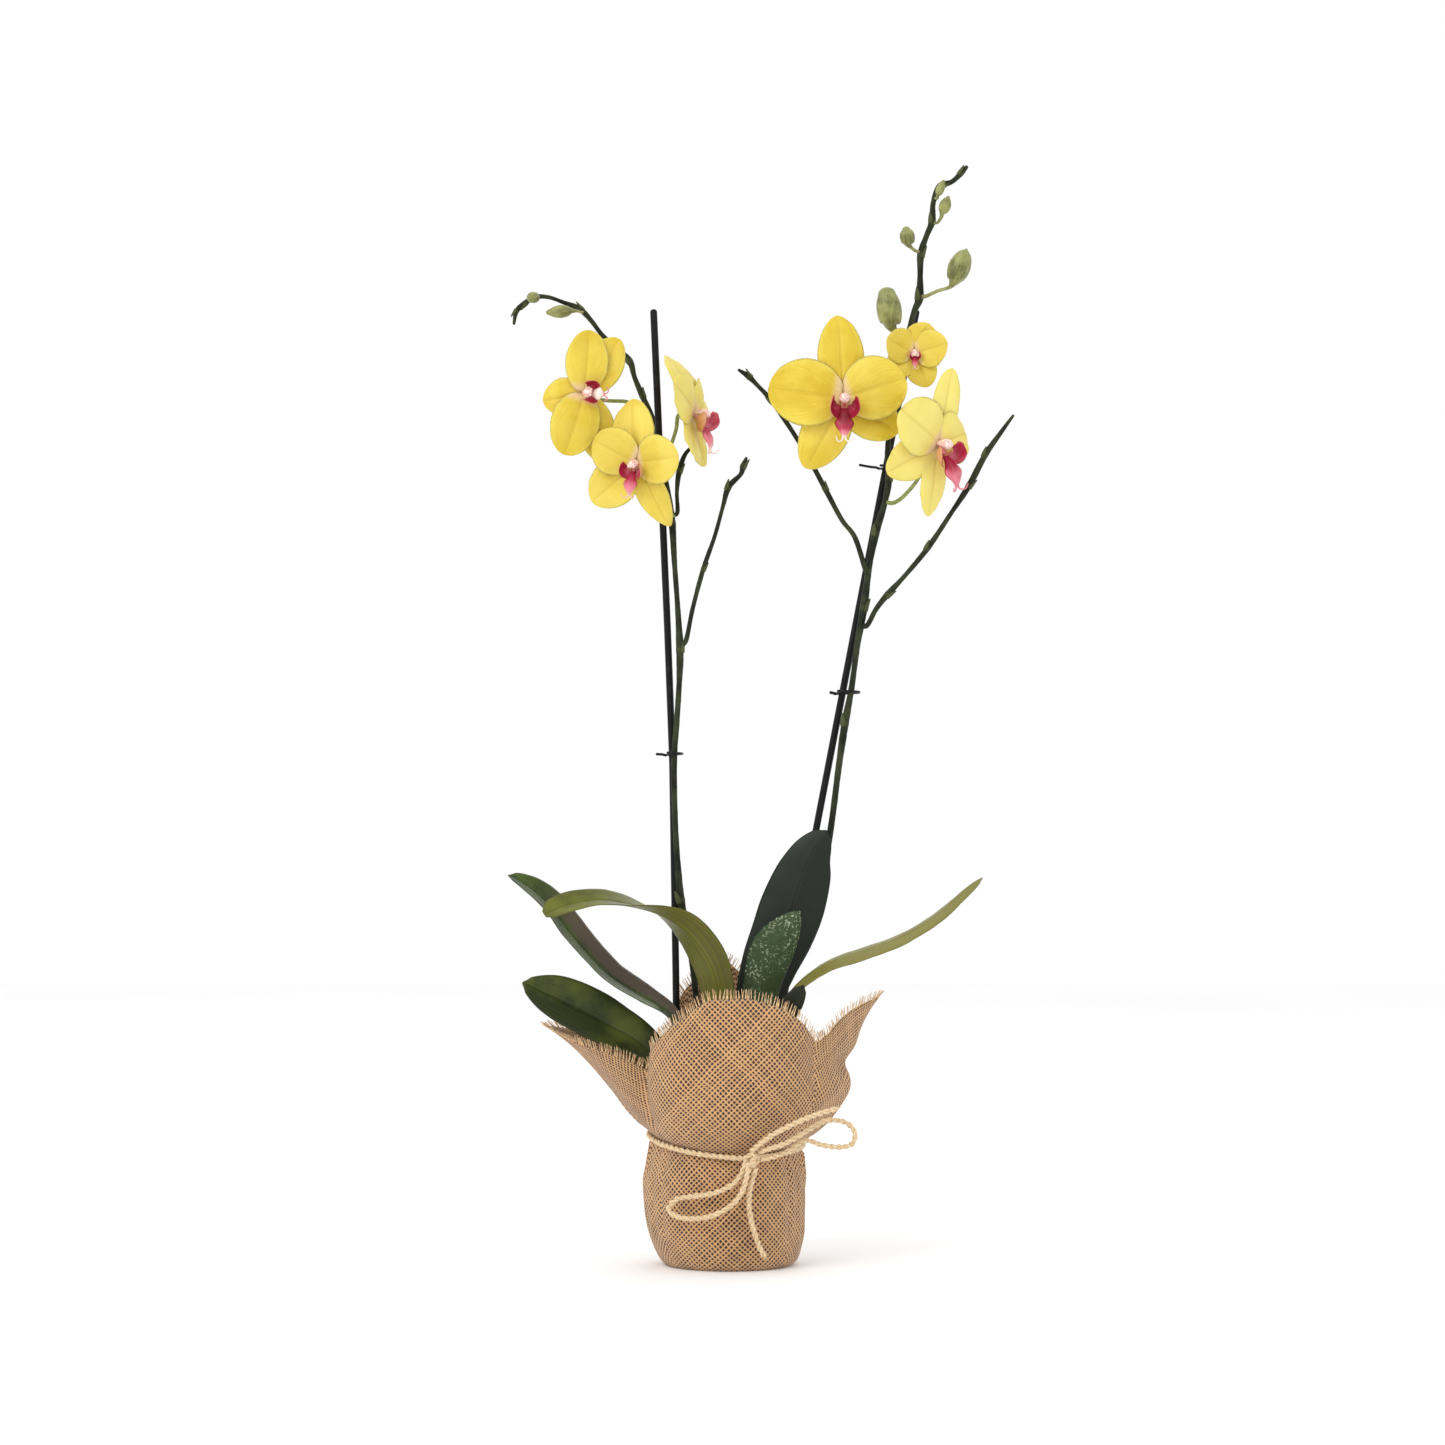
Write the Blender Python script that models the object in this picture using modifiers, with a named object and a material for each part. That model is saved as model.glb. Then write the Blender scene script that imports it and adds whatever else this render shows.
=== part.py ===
"""Potted moth orchid: a nursery pot of bark in a burlap wrap tied with jute twine, seven leaves on a
short crown, and two flower spikes, each held to a black stake, with six flowers and seven buds.

Everything is in metres with +Z up.  The origin is the middle of the wrap's flat underside, and the
front of the plant faces -Y.  Routes and outlines below are in millimetres and go through mm().
"""
import math
import bmesh
import bpy
from mathutils import Vector

# ---------------------------------------------------------------- driving dimensions (millimetres)
GAP = 0.35                 # clearance left between pieces that touch
CLOTH = 1.2                # burlap thickness
POT_LIFT = CLOTH + 0.4     # the pot stands on the cloth
POT_HEIGHT = 88.6          # outside height of the nursery pot
POT_BASE_R = 36.5          # outside radius of the wall, run down to the floor
POT_TOP_R = 43.4           # outside radius of the wall, run up to the rim's top
POT_RIM_OUT = 1.6          # how far the rolled rim stands out from POT_TOP_R
POT_WALL = 1.1
POT_FLOOR = 1.4
DRAIN_R = 4.0              # holes in the pot's floor
BARK_DROP = 13.2           # level of the bark mix below the pot's rim
TWINE_R = 1.75
STAKE_R = 2.2
STAKE_LENGTH = 576.0
STAKE_FOOT = 15.0          # height of the stakes' lower ends above the table
CROWN_R = 8.0
LEAF_THICK = 1.7
TEPAL_THICK = 0.6
COLUMN_R = 1.5             # column where it passes through the flower

RIM_TOP = POT_LIFT + POT_HEIGHT
BARK_TOP = RIM_TOP - BARK_DROP

# The routes below are drawn for the sizes named here, and follow them when they change: the plant
# lifts with the pot's rim, the wrap and its twine spread with the pot's wall at each height and
# lift with its rim, and the stakes and clips make room for a thicker stake.
DRAWN_RIM = 90.2
DRAWN_BASE_R = 36.5
DRAWN_TOP_R = 43.4
DRAWN_CLOTH = 1.2
DRAWN_TIE_R = 45.2         # outside of the cloth under the twine
DRAWN_TIE = 76.2           # mean height of the twine round the wrap
DRAWN_TWINE_R = 1.75
DRAWN_STAKE_R = 2.2


def pot_r(z):
    """Outside radius of the pot's wall at height z above the table."""
    return POT_BASE_R + (POT_TOP_R - POT_BASE_R) * (z - POT_LIFT) / POT_HEIGHT


TALLER = RIM_TOP / DRAWN_RIM
LIFT = RIM_TOP - DRAWN_RIM
TWINE_OUT = TWINE_R - DRAWN_TWINE_R
STAKE_OUT = STAKE_R - DRAWN_STAKE_R
STAKE_ASIDE = Vector((-1.0, 0.8, 0.0)) * STAKE_OUT        # away from the spikes


def wider(z):
    """How far the wrap spreads at drawn height z, as a share, with the pot inside it."""
    f = min(z, DRAWN_RIM) / DRAWN_RIM
    drawn = DRAWN_BASE_R + (DRAWN_TOP_R - DRAWN_BASE_R) * f
    now = POT_BASE_R + (POT_TOP_R - POT_BASE_R) * f
    return (now + CLOTH - DRAWN_CLOTH) / drawn


def mm(p):
    """A point in millimetres, in metres."""
    return Vector((p[0], p[1], p[2])) * 0.001


def grown(p):
    """A point of the plant or a stake, which lifts with the pot's rim."""
    return mm((p[0], p[1], p[2] + LIFT))


def wrapped(p):
    """A point of the wrap, which grows with the pot up to its rim and lifts with it above that."""
    spread = wider(p[2])
    height = p[2] * TALLER if p[2] < DRAWN_RIM else p[2] + LIFT
    return mm((p[0] * spread, p[1] * spread, height))


# ---------------------------------------------------------------- scene set-up
for old in list(bpy.data.objects):
    bpy.data.objects.remove(old, do_unlink=True)

plant = bpy.data.collections.new("potted_orchid")
bpy.context.scene.collection.children.link(plant)
cutters = bpy.data.collections.new("cutters")
bpy.context.scene.collection.children.link(cutters)


def material(name, rgb, rough, metal=0.0):
    m = bpy.data.materials.new(name)
    m.use_nodes = True
    shader = m.node_tree.nodes["Principled BSDF"]
    shader.inputs["Base Color"].default_value = (rgb[0], rgb[1], rgb[2], 1.0)
    shader.inputs["Roughness"].default_value = rough
    shader.inputs["Metallic"].default_value = metal
    return m


M_POT = material("pot_plastic", (0.030, 0.028, 0.027), 0.45)
M_BARK = material("bark", (0.16, 0.085, 0.045), 0.95)
M_BURLAP = material("burlap", (0.56, 0.34, 0.17), 0.95)
M_TWINE = material("jute_twine", (0.68, 0.50, 0.33), 0.90)
M_STAKE = material("stake_plastic", (0.012, 0.012, 0.013), 0.35)
M_CROWN = material("crown", (0.10, 0.16, 0.05), 0.60)
M_LEAF = material("leaf", (0.045, 0.100, 0.020), 0.35)
M_LEAF_LIGHT = material("leaf_olive", (0.150, 0.190, 0.030), 0.40)
M_SPIKE = material("spike", (0.035, 0.055, 0.020), 0.50)
M_BUD = material("bud", (0.20, 0.24, 0.07), 0.55)
M_PETAL = material("petal", (0.78, 0.58, 0.05), 0.55)
M_LIP = material("lip", (0.42, 0.035, 0.085), 0.50)
M_COLUMN = material("column", (0.72, 0.55, 0.42), 0.50)


def place(obj, mat):
    obj.data.materials.append(mat)
    plant.objects.link(obj)
    return obj


def mesh_object(name, verts, faces, mat):
    me = bpy.data.meshes.new(name)
    me.from_pydata([tuple(v) for v in verts], [], faces)
    me.shade_smooth()
    return place(bpy.data.objects.new(name, me), mat)


def spline(points, per):
    """Catmull-Rom through points (tuples of any length), `per` steps to each span."""
    out = []
    n = len(points)
    for i in range(n - 1):
        a = points[max(i - 1, 0)]
        b = points[i]
        c = points[i + 1]
        d = points[min(i + 2, n - 1)]
        for k in range(per):
            t = k / per
            row = []
            for w, x, y, z in zip(a, b, c, d):
                row.append(0.5 * (2 * x + (y - w) * t + (2 * w - 5 * x + 4 * y - z) * t * t
                                  + (3 * x - w - 3 * y + z) * t ** 3))
            out.append(tuple(row))
    out.append(tuple(points[-1]))
    return out


def stem(name, points, mat, per=2, sides=8, closed=False, at=grown):
    """A round stem along points (x, y, z, radius) in mm: a poly curve with a round bevel."""
    rows = spline(points + points[:1], per)[:-1] if closed else spline(points, per)
    cu = bpy.data.curves.new(name, "CURVE")
    cu.dimensions = "3D"
    cu.bevel_depth = 0.001
    cu.bevel_resolution = (sides - 4) // 2
    cu.render_resolution_u = 0
    cu.use_fill_caps = not closed
    sp = cu.splines.new("POLY")
    sp.points.add(len(rows) - 1)
    for p, row in zip(sp.points, rows):
        p.co = at(row).to_4d()
        p.radius = row[3]
    sp.use_cyclic_u = closed
    return place(bpy.data.objects.new(name, cu), mat)


def solidify(obj, thickness, offset=0.0):
    mod = obj.modifiers.new("thickness", "SOLIDIFY")
    mod.thickness = thickness * 0.001
    mod.offset = offset
    mod.use_even_offset = True


def turned(name, profile, mat, steps=28):
    """An axis-to-axis profile of (radius, height) in mm, down its outer side, turned about Z."""
    me = bpy.data.meshes.new(name)
    verts = [(r * 0.001, 0.0, z * 0.001) for r, z in profile]
    me.from_pydata(verts, [(i, i + 1) for i in range(len(verts) - 1)], [])
    obj = place(bpy.data.objects.new(name, me), mat)
    mod = obj.modifiers.new("turn", "SCREW")
    mod.axis = "Z"
    mod.steps = steps
    mod.render_steps = steps
    mod.use_merge_vertices = True
    mod.merge_threshold = 1e-5
    mod.use_normal_calculate = True
    return obj


def bore(name, a, b, radius, sides):
    """A straight round cutter from a to b (points in metres), its radius in mm."""
    me = bpy.data.meshes.new(name)
    bm = bmesh.new()
    bmesh.ops.create_cone(bm, cap_ends=True, segments=sides, radius1=radius * 0.001,
                          radius2=radius * 0.001, depth=(b - a).length)
    bm.to_mesh(me)
    bm.free()
    obj = bpy.data.objects.new(name, me)
    obj.location = (a + b) / 2
    obj.rotation_euler = (b - a).to_track_quat("Z", "Y").to_euler()
    obj.hide_render = True
    obj.display_type = "WIRE"
    cutters.objects.link(obj)
    return obj


def cut(obj, cutter):
    mod = obj.modifiers.new("cut_" + cutter.name, "BOOLEAN")
    mod.operation = "DIFFERENCE"
    mod.solver = "EXACT"
    mod.object = cutter


# ---------------------------------------------------------------- nursery pot and bark
RIM_R = POT_TOP_R + POT_RIM_OUT
RIM_LOW = RIM_TOP - 5.0     # underside of the rolled rim
FOOT_R = POT_BASE_R - 0.6   # wall above the rounded foot
floor = POT_LIFT + POT_FLOOR
pot = turned("nursery_pot", [
    (0.0, floor), (FOOT_R - 3.6, floor), (FOOT_R - POT_WALL, floor + 0.4),
    (pot_r(RIM_LOW) - POT_WALL, RIM_LOW), (RIM_R - 2.2, RIM_TOP - 0.3), (RIM_R - 0.8, RIM_TOP),
    (RIM_R, RIM_TOP - 0.6), (RIM_R, RIM_LOW + 0.8), (pot_r(RIM_LOW), RIM_LOW),
    (FOOT_R, POT_LIFT + 2.2), (FOOT_R - 2.9, POT_LIFT), (0.0, POT_LIFT)], M_POT)
DRAINS = 4
DRAIN_RING = 24.0           # the drain holes' distance from the middle
for i in range(DRAINS):
    turn = math.radians(360 * (i + 0.5) / DRAINS)
    x, y = DRAIN_RING * math.cos(turn), DRAIN_RING * math.sin(turn)
    cut(pot, bore("drain_%d" % i, mm((x, y, -1.0)), mm((x, y, floor + 2.0)), DRAIN_R, 8))



def bark_r(z):
    """Outside radius of the bark at height z, just inside the pot's wall."""
    low, high = floor + 0.4, RIM_LOW
    wall = FOOT_R + (pot_r(RIM_LOW) - FOOT_R) * (z - low) / (high - low)
    return wall - POT_WALL - GAP


bark = turned("bark_mix", [
    (0.0, BARK_TOP + 2.2), (bark_r(BARK_TOP) * 0.55, BARK_TOP + 1.6),
    (bark_r(BARK_TOP) - 4.0, BARK_TOP), (bark_r(BARK_TOP - 3.0), BARK_TOP - 3.0),
    (bark_r(floor + 3.0), floor + 3.0), (bark_r(floor + 3.0) - 2.8, floor + GAP),
    (0.0, floor + GAP)], M_BARK)

# ---------------------------------------------------------------- stakes
STAKES = {                  # routes up each stake; the left one is flexed a little by its clip
    "stake_left": [(-29.2, 7.0, STAKE_FOOT - LIFT), (-31.2, 7.0, 180), (-33.2, 6.8, 310),
                   (-36.4, 6.6, 395), (-41.5, 6.4, 511)],
    "stake_right": [(6.5, 24.2, STAKE_FOOT - LIFT), (36.0, 20.0, 164), (66.6, 15.6, 323),
                    (97.6, 11.2, 484)],
}


def stake_route(points):
    """The points below the stake's top, and the top itself in line with the last two."""
    top = STAKE_FOOT + STAKE_LENGTH - LIFT
    kept = [Vector(p) for p in points if p[2] < top - 10.0]
    a, b = kept[-2:]
    return kept + [b + (b - a) * ((top - b.z) / (b.z - a.z))]


for name, points in STAKES.items():
    route = [p + STAKE_ASIDE for p in stake_route(points)]
    stem(name, [(p.x, p.y, p.z, STAKE_R) for p in route], M_STAKE, per=1, sides=10)
    low, high = grown(route[0]), grown(route[1])
    step = (high - low).normalized() * 0.001
    cut(bark, bore("bore_" + name, low - step * 0.6, low + step * (BARK_TOP + 30.0),
                   STAKE_R + GAP + 0.1, 10))

# ---------------------------------------------------------------- crown
CROWN_AT = (3.0, 2.0)
CROWN_LOW = 47.0
CROWN_TOP = 101.0
crown = turned("root_crown", [
    (0.0, CROWN_TOP), (CROWN_R * 0.45, CROWN_TOP - 2.0), (CROWN_R * 0.8, CROWN_TOP - 10.0),
    (CROWN_R, CROWN_TOP - 22.0), (CROWN_R - 0.5, CROWN_LOW + 14.0), (CROWN_R - 3.0, CROWN_LOW + 2.0),
    (0.0, CROWN_LOW)], M_CROWN, steps=14)
crown.location = grown((CROWN_AT[0], CROWN_AT[1], 0.0))
cut(bark, bore("bore_crown", grown((CROWN_AT[0], CROWN_AT[1], CROWN_LOW - 0.6)),
               grown((CROWN_AT[0], CROWN_AT[1], CROWN_TOP + 30.0)), CROWN_R + 0.7, 16))

# ---------------------------------------------------------------- burlap wrap
BODY = [                    # height, radius at the left side, radius at the right side
    (0.0, 34.0, 37.5), (1.4, 38.0, 41.5), (6.0, 41.8, 45.0), (20.0, 47.8, 48.0),
    (36.0, 50.6, 48.6), (52.0, 51.0, 48.8), (62.0, 48.4, 47.0)]
LOBES = [                   # angle, edge radius and height, then the two pull points of its curve
    (-90, 56, 172, 66, 90, 67, 138),
    (-101, 57, 171, 66, 90, 67, 138),
    (-117, 61, 159, 66, 90, 68, 132),
    (-127, 62, 151, 66, 90, 67, 125),
    (-135, 63, 142, 64, 90, 66, 118),
    (-142, 62, 129, 62, 89, 65, 110),
    (-148, 71, 134, 60, 88, 66, 108),
    (-154, 82, 138, 60, 89, 70, 112),
    (-161, 93, 141, 60, 90, 74, 118),
    (-168, 104, 144, 61, 91, 78, 125),
    (-175, 114, 150, 62, 92, 82, 131),
    (177, 106, 149, 61, 91, 80, 129),
    (168, 90, 145, 60, 91, 74, 123),
    (156, 74, 141, 58, 91, 66, 117),
    (142, 62, 138, 56, 91, 60, 115),
    (130, 58, 148, 55, 91, 58, 123),
    (118, 56, 172, 56, 91, 58, 136),
    (104, 52, 184, 57, 93, 56, 146),
    (92, 50, 191, 57, 93, 55, 151),
    (78, 51, 181, 57, 93, 55, 146),
    (63, 53, 168, 56, 93, 56, 136),
    (48, 57, 146, 56, 91, 58, 121),
    (36, 62, 138, 57, 91, 62, 115),
    (22, 72, 145, 64, 93, 64, 117),
    (10, 84, 157, 78, 97, 64, 125),
    (-4, 98, 170, 93, 100, 63, 131),
    (-13, 88, 166.5, 84, 98, 66, 129),
    (-21, 79, 160.5, 76, 95, 68, 125),
    (-29, 72, 150, 71, 93, 69, 119),
    (-36, 68, 146.5, 68, 91, 68, 117),
    (-47, 66, 158.5, 67, 90, 69, 128),
    (-60, 62, 167.5, 67, 90, 68, 134),
    (-75, 57, 172, 66, 90, 67, 138)]
UPPER_ROWS = 5              # rows of faces above the tie
WIDEST_STEP = 10.5          # columns further apart than this, in degrees, get one between them
TIE_BAND = 2.0              # half the height of the band that the twine presses flat


def tie_height(a):
    """Height of the twine round the wrap at angle a (radians)."""
    return DRAWN_TIE - 3.0 * math.cos(a) + 4.0 * math.sin(a) + 1.3 * math.cos(2 * a)


def body_r(z, a):
    """Outside radius of the cloth at height z below the tie."""
    for (z0, l0, r0), (z1, l1, r1) in zip(BODY, BODY[1:]):
        if z <= z1:
            f = (z - z0) / (z1 - z0)
            left, right = l0 + (l1 - l0) * f, r0 + (r1 - r0) * f
            break
    side = 0.5 * (1.0 + math.cos(a))
    return left + (right - left) * side


def wrap_column(row):
    """Points of the cloth's outer face up one column, from the base's edge to the frayed edge."""
    ang, edge_r, edge_z, r1, z1, r2, z2 = row
    a = math.radians(ang)
    spots = [(body_r(0.0, a) * 0.55, 0.0)]
    spots += [(body_r(z, a), z) for z, _, _ in BODY]
    tie = tie_height(a) + TIE_BAND
    spots += [(DRAWN_TIE_R, tie - 2 * TIE_BAND), (DRAWN_TIE_R, tie)]
    for k in range(1, UPPER_ROWS + 1):
        t = k / UPPER_ROWS
        c0, c1, c2, c3 = (1 - t) ** 3, 3 * t * (1 - t) ** 2, 3 * t * t * (1 - t), t ** 3
        spots.append((c0 * DRAWN_TIE_R + c1 * r1 + c2 * r2 + c3 * edge_r,
                      c0 * tie + c1 * z1 + c2 * z2 + c3 * edge_z))
    return [wrapped((r * math.cos(a), r * math.sin(a), z)) for r, z in spots]


columns = []
for here, after in zip(LOBES, LOBES[1:] + LOBES[:1]):
    columns.append(here)
    a1 = after[0]
    while a1 > here[0]:
        a1 -= 360.0
    if here[0] - a1 > WIDEST_STEP:
        half = [(p + q) / 2 for p, q in zip(here[1:], after[1:])]
        columns.append([(here[0] + a1) / 2] + half)
grid = [wrap_column(c) for c in columns]
verts = [mm((0.0, 0.0, 0.0))] + [p for col in grid for p in col]
tall = len(grid[0])
faces = []
for i in range(len(grid)):
    j = (i + 1) % len(grid)
    faces.append((0, 1 + i * tall, 1 + j * tall))
    for k in range(tall - 1):
        faces.append((1 + i * tall + k, 1 + i * tall + k + 1, 1 + j * tall + k + 1, 1 + j * tall + k))
wrap = mesh_object("burlap_wrap", verts, faces, M_BURLAP)
solidify(wrap, CLOTH, -1.0)

# ---------------------------------------------------------------- twine
TIE_POINTS = 26
ring = []
for k in range(TIE_POINTS):
    a = 2 * math.pi * k / TIE_POINTS
    r = DRAWN_TIE_R + (GAP + TWINE_R + 0.4) / wider(DRAWN_TIE)
    ring.append((r * math.cos(a), r * math.sin(a), tie_height(a), TWINE_R))
stem("twine_tie", ring, M_TWINE, per=1, sides=6, closed=True, at=wrapped)


def twine(name, points):
    """A twine along points (x, y, z) in mm, in front of the wrap."""
    stem(name, [(x, y - TWINE_OUT, z, TWINE_R) for x, y, z in points], M_TWINE, per=2, at=wrapped)


stem("twine_knot", [
    (13.0, -52.6, 72.6, 1.2), (12.6, -53.0, 71.4, 3.2), (15.0, -53.8, 70, 4.0),
    (17.4, -53.4, 68.6, 3.2), (17.8, -53.0, 67.6, 1.2)], M_TWINE, per=2, sides=8, at=wrapped)
twine("twine_loop_right", [
    (19.8, -56.0, 74.5), (25, -61, 77), (36, -65, 81), (50, -64, 89), (61, -59, 94), (72, -56, 93),
    (78, -55, 87), (77, -54, 80), (70, -54, 77.5), (58, -56, 79), (48, -58.5, 82),
    (37, -59.5, 75.5), (27, -57.5, 71.5), (21.5, -55.5, 70.4)])
twine("twine_loop_left", [
    (11.4, -56.4, 67.5), (9, -57.4, 61), (3, -56.8, 54.5), (-8, -55.6, 49.5), (-21, -53.5, 47.5),
    (-30, -50.5, 45.5), (-35, -48.5, 39.5), (-31, -50.5, 35.5), (-22, -54.0, 34), (-9, -57.2, 36),
    (3, -58.6, 42.5), (9.6, -59.8, 51), (12.8, -60.2, 61), (13.6, -58.8, 65.2)])
twine("twine_tail_down", [
    (18.0, -57.0, 65), (16.0, -57.4, 58), (14.0, -56.0, 49), (14.4, -54.2, 38), (17.0, -53.4, 26),
    (21.0, -53.0, 15), (23.5, -52.6, 11)])
twine("twine_tail_right", [
    (15.4, -58.0, 75.4), (22, -63, 81.5), (31, -68, 88), (45, -70.5, 95), (56, -68, 99),
    (67, -65, 102)])

# ---------------------------------------------------------------- stems
LEFT_SPIKE = [
    (-11, 8, 93, 2.6), (-16, 10, 125, 2.2), (-18.5, 10, 163, 2.0), (-23, 8, 200, 1.9),
    (-28, 4.5, 225, 2.5), (-30.6, 3, 257, 1.8), (-32, 1.5, 289, 1.8), (-32, 1.0, 315, 1.8),
    (-30.5, 0.5, 337, 1.8), (-29, 0, 361, 1.8), (-28.6, 0, 381, 2.4), (-30, 0.5, 407, 1.7),
    (-32, 2, 435, 1.7), (-33.5, 5, 460, 2.2), (-36, 9.5, 479, 1.6), (-40, 13.5, 499, 1.6),
    (-45, 15, 523, 1.6), (-52, 15.5, 539, 1.9), (-57, 15, 551, 1.6), (-60, 14, 561, 2.0),
    (-68, 13, 569, 1.5), (-77, 12, 577, 1.5), (-84, 10, 586, 1.5), (-91, 9, 593, 1.9),
    (-101, 8, 597, 1.3), (-110, 6, 600, 1.3), (-118, 4, 600, 1.5), (-125, 3, 596, 1.7),
    (-130, 2, 591, 1.5), (-131.5, 0, 583, 0.9)]
RIGHT_SPIKE = [
    (10, 12, 93, 2.6), (19, 15.5, 127, 2.3), (30, 16, 161, 2.1), (43, 14.2, 193, 2.1),
    (53, 14.5, 217, 2.1), (61, 14, 245, 2.1), (66, 12.5, 275, 2.0), (70, 10.5, 307, 2.0),
    (74, 9, 335, 2.4), (78, 7.5, 357, 1.9), (81.5, 6, 383, 1.9), (85.5, 5, 407, 2.5),
    (89, 5, 433, 1.9), (93, 5, 453, 2.3), (98.5, 4.5, 472, 1.9), (101, 4, 487, 2.2),
    (100.5, 4, 507, 1.8), (103.5, 4, 528, 1.8), (109.5, 3.5, 548, 1.9), (112, 3, 571, 1.8),
    (116.5, 2, 590, 1.8), (120, 2, 599, 2.5), (120.5, 3, 613, 1.8), (121, 4, 627, 2.2),
    (124.5, 3.5, 638, 1.7), (128, 2.5, 647, 2.1), (128.5, 1.5, 658, 1.6), (132.5, 0, 668, 2.2),
    (140, -1, 671, 1.5), (145.5, -2, 676, 1.8), (149, -2.5, 680, 1.2)]
stem("left_spike", LEFT_SPIKE, M_SPIKE, per=1, sides=8)
stem("right_spike", RIGHT_SPIKE, M_SPIKE, per=1, sides=8)

stem("left_branch_outer", [
    (-25.0, -2.2, 386, 1.5), (-20.5, -4, 407, 1.4), (-14, -6, 431, 1.5), (-7, -8, 451, 1.3),
    (-2, -10, 469, 1.3), (1.5, -11, 481, 1.9), (9, -12, 489, 1.4), (10.5, -12, 494, 1.9),
    (12.5, -13, 499, 0.9)], M_SPIKE, per=2, sides=6)
stem("left_branch_short", [
    (-30.2, 1.8, 466, 1.4), (-30.5, 2.5, 479, 1.3), (-29, 4, 492, 1.8), (-25, 5, 503, 1.3),
    (-18, 6, 509, 1.0)], M_SPIKE, per=2, sides=6)
stem("right_branch_left", [
    (86.5, 1.2, 431, 1.7), (80, 6.5, 451, 1.6), (72, 10, 462, 1.5), (62, 14, 481, 1.7),
    (53, 17, 498, 1.5), (43, 19, 515, 1.5), (29, 20.5, 536, 1.6), (20, 20.5, 546, 1.4),
    (14, 20.5, 552, 1.8), (8, 20.5, 556, 0.9)], M_SPIKE, per=2, sides=6)
stem("right_branch_right", [
    (87.5, 2.0, 396, 1.7), (93, 1, 406, 1.6), (100, -0.5, 415, 2.0), (111, -2.5, 427, 1.5),
    (125, -5, 444, 1.8), (139, -8, 465, 1.5), (150, -11, 482, 2.0), (160, -13, 501, 1.9),
    (169, -15, 514, 1.5), (177, -16, 525, 0.9)], M_SPIKE, per=2, sides=6)


def bud(name, stalk, base, tip, radius, point=0.35):
    """A flower bud on its own stalk: stalk points (x, y, z, radius), then base to tip."""
    b, t = Vector(base), Vector(tip)
    rows = list(stalk)
    for f, w in ((0.0, 0.42), (0.14, 0.78), (0.42, 1.0), (0.68, 0.88), (0.88, 0.58), (1.0, point)):
        p = b.lerp(t, f)
        rows.append((p.x, p.y, p.z, radius * w))
    stem(name, rows, M_BUD, per=1, sides=8)


bud("left_bud_1", [(-89.5, 5.0, 590.5, 0.8), (-92.5, 3.4, 591.2, 0.9)], (-96, 2, 591.2),
    (-110.5, 0, 590), 4.1)
bud("left_bud_2", [], (-117, -1.2, 599.4), (-121.5, -8.0, 598.4), 3.5, point=0.5)
bud("right_bud_1", [(110.5, -1.6, 573, 1.4), (106, -3.5, 576, 1.5)], (102.5, -4, 581),
    (99.5, -4.5, 601), 7.6, point=0.5)
bud("right_bud_2", [(123.6, -0.8, 600, 1.2), (131, -4, 603, 1.1), (138, -6.5, 605, 1.2)],
    (140.5, -7.5, 608), (148.5, -10, 628), 7.0, point=0.12)
bud("right_bud_3", [(117.6, 1.6, 628.4, 1.0), (114.6, 0.0, 630.5, 1.2)], (113.2, -1.0, 632),
    (111.5, -3.5, 641), 4.6, point=0.55)
bud("right_bud_4", [(130.8, -0.4, 645.6, 0.9), (133.2, -2.0, 648.6, 1.1)], (133.8, -2.6, 651),
    (137.6, -4.0, 661), 3.7, point=0.3)
bud("right_bud_5", [(130.8, -2.8, 660.4, 0.9)], (131.0, -4.2, 662), (134.6, -5.8, 671), 2.7,
    point=0.3)


# ---------------------------------------------------------------- clips
CLIP_STEPS = 15             # points round a clip's ring
CLIP_RISE = 0.12            # how far the ring climbs from one point to the next


def clip(name, centre, half_x, half_y, wire, pin):
    """A wire ring round stake and stem with a straight pin end, one bent wire."""
    rows = []
    for k in range(CLIP_STEPS):
        a = math.radians(200 - 24 * k)
        rows.append((centre[0] + STAKE_ASIDE.x / 2 + (half_x + STAKE_OUT) * math.cos(a),
                     centre[1] + STAKE_ASIDE.y + (half_y + STAKE_OUT) * math.sin(a),
                     centre[2] + CLIP_RISE * k, wire))
    start = [(p[0] + STAKE_ASIDE.x, p[1], p[2], wire) for p in pin]
    stem(name, start + rows, M_STAKE, per=1, sides=6)


clip("clip_left", (-32.4, 3.6, 315.4), 5.2, 7.6, 0.85,
     [(-43.0, 0.5, 316.2), (-39.5, 1.2, 316)])
clip("clip_right_low", (75.2, 11.2, 353.6), 7.6, 9.0, 1.0,
     [(65.0, 4.5, 354.4), (66.4, 6.6, 354.2)])
clip("clip_right_high", (99.4, 7.4, 493.6), 4.9, 8.0, 0.8,
     [(83.0, 2.0, 495.6), (89.0, 3.6, 494.6), (93.2, 4.4, 494.2)])


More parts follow.
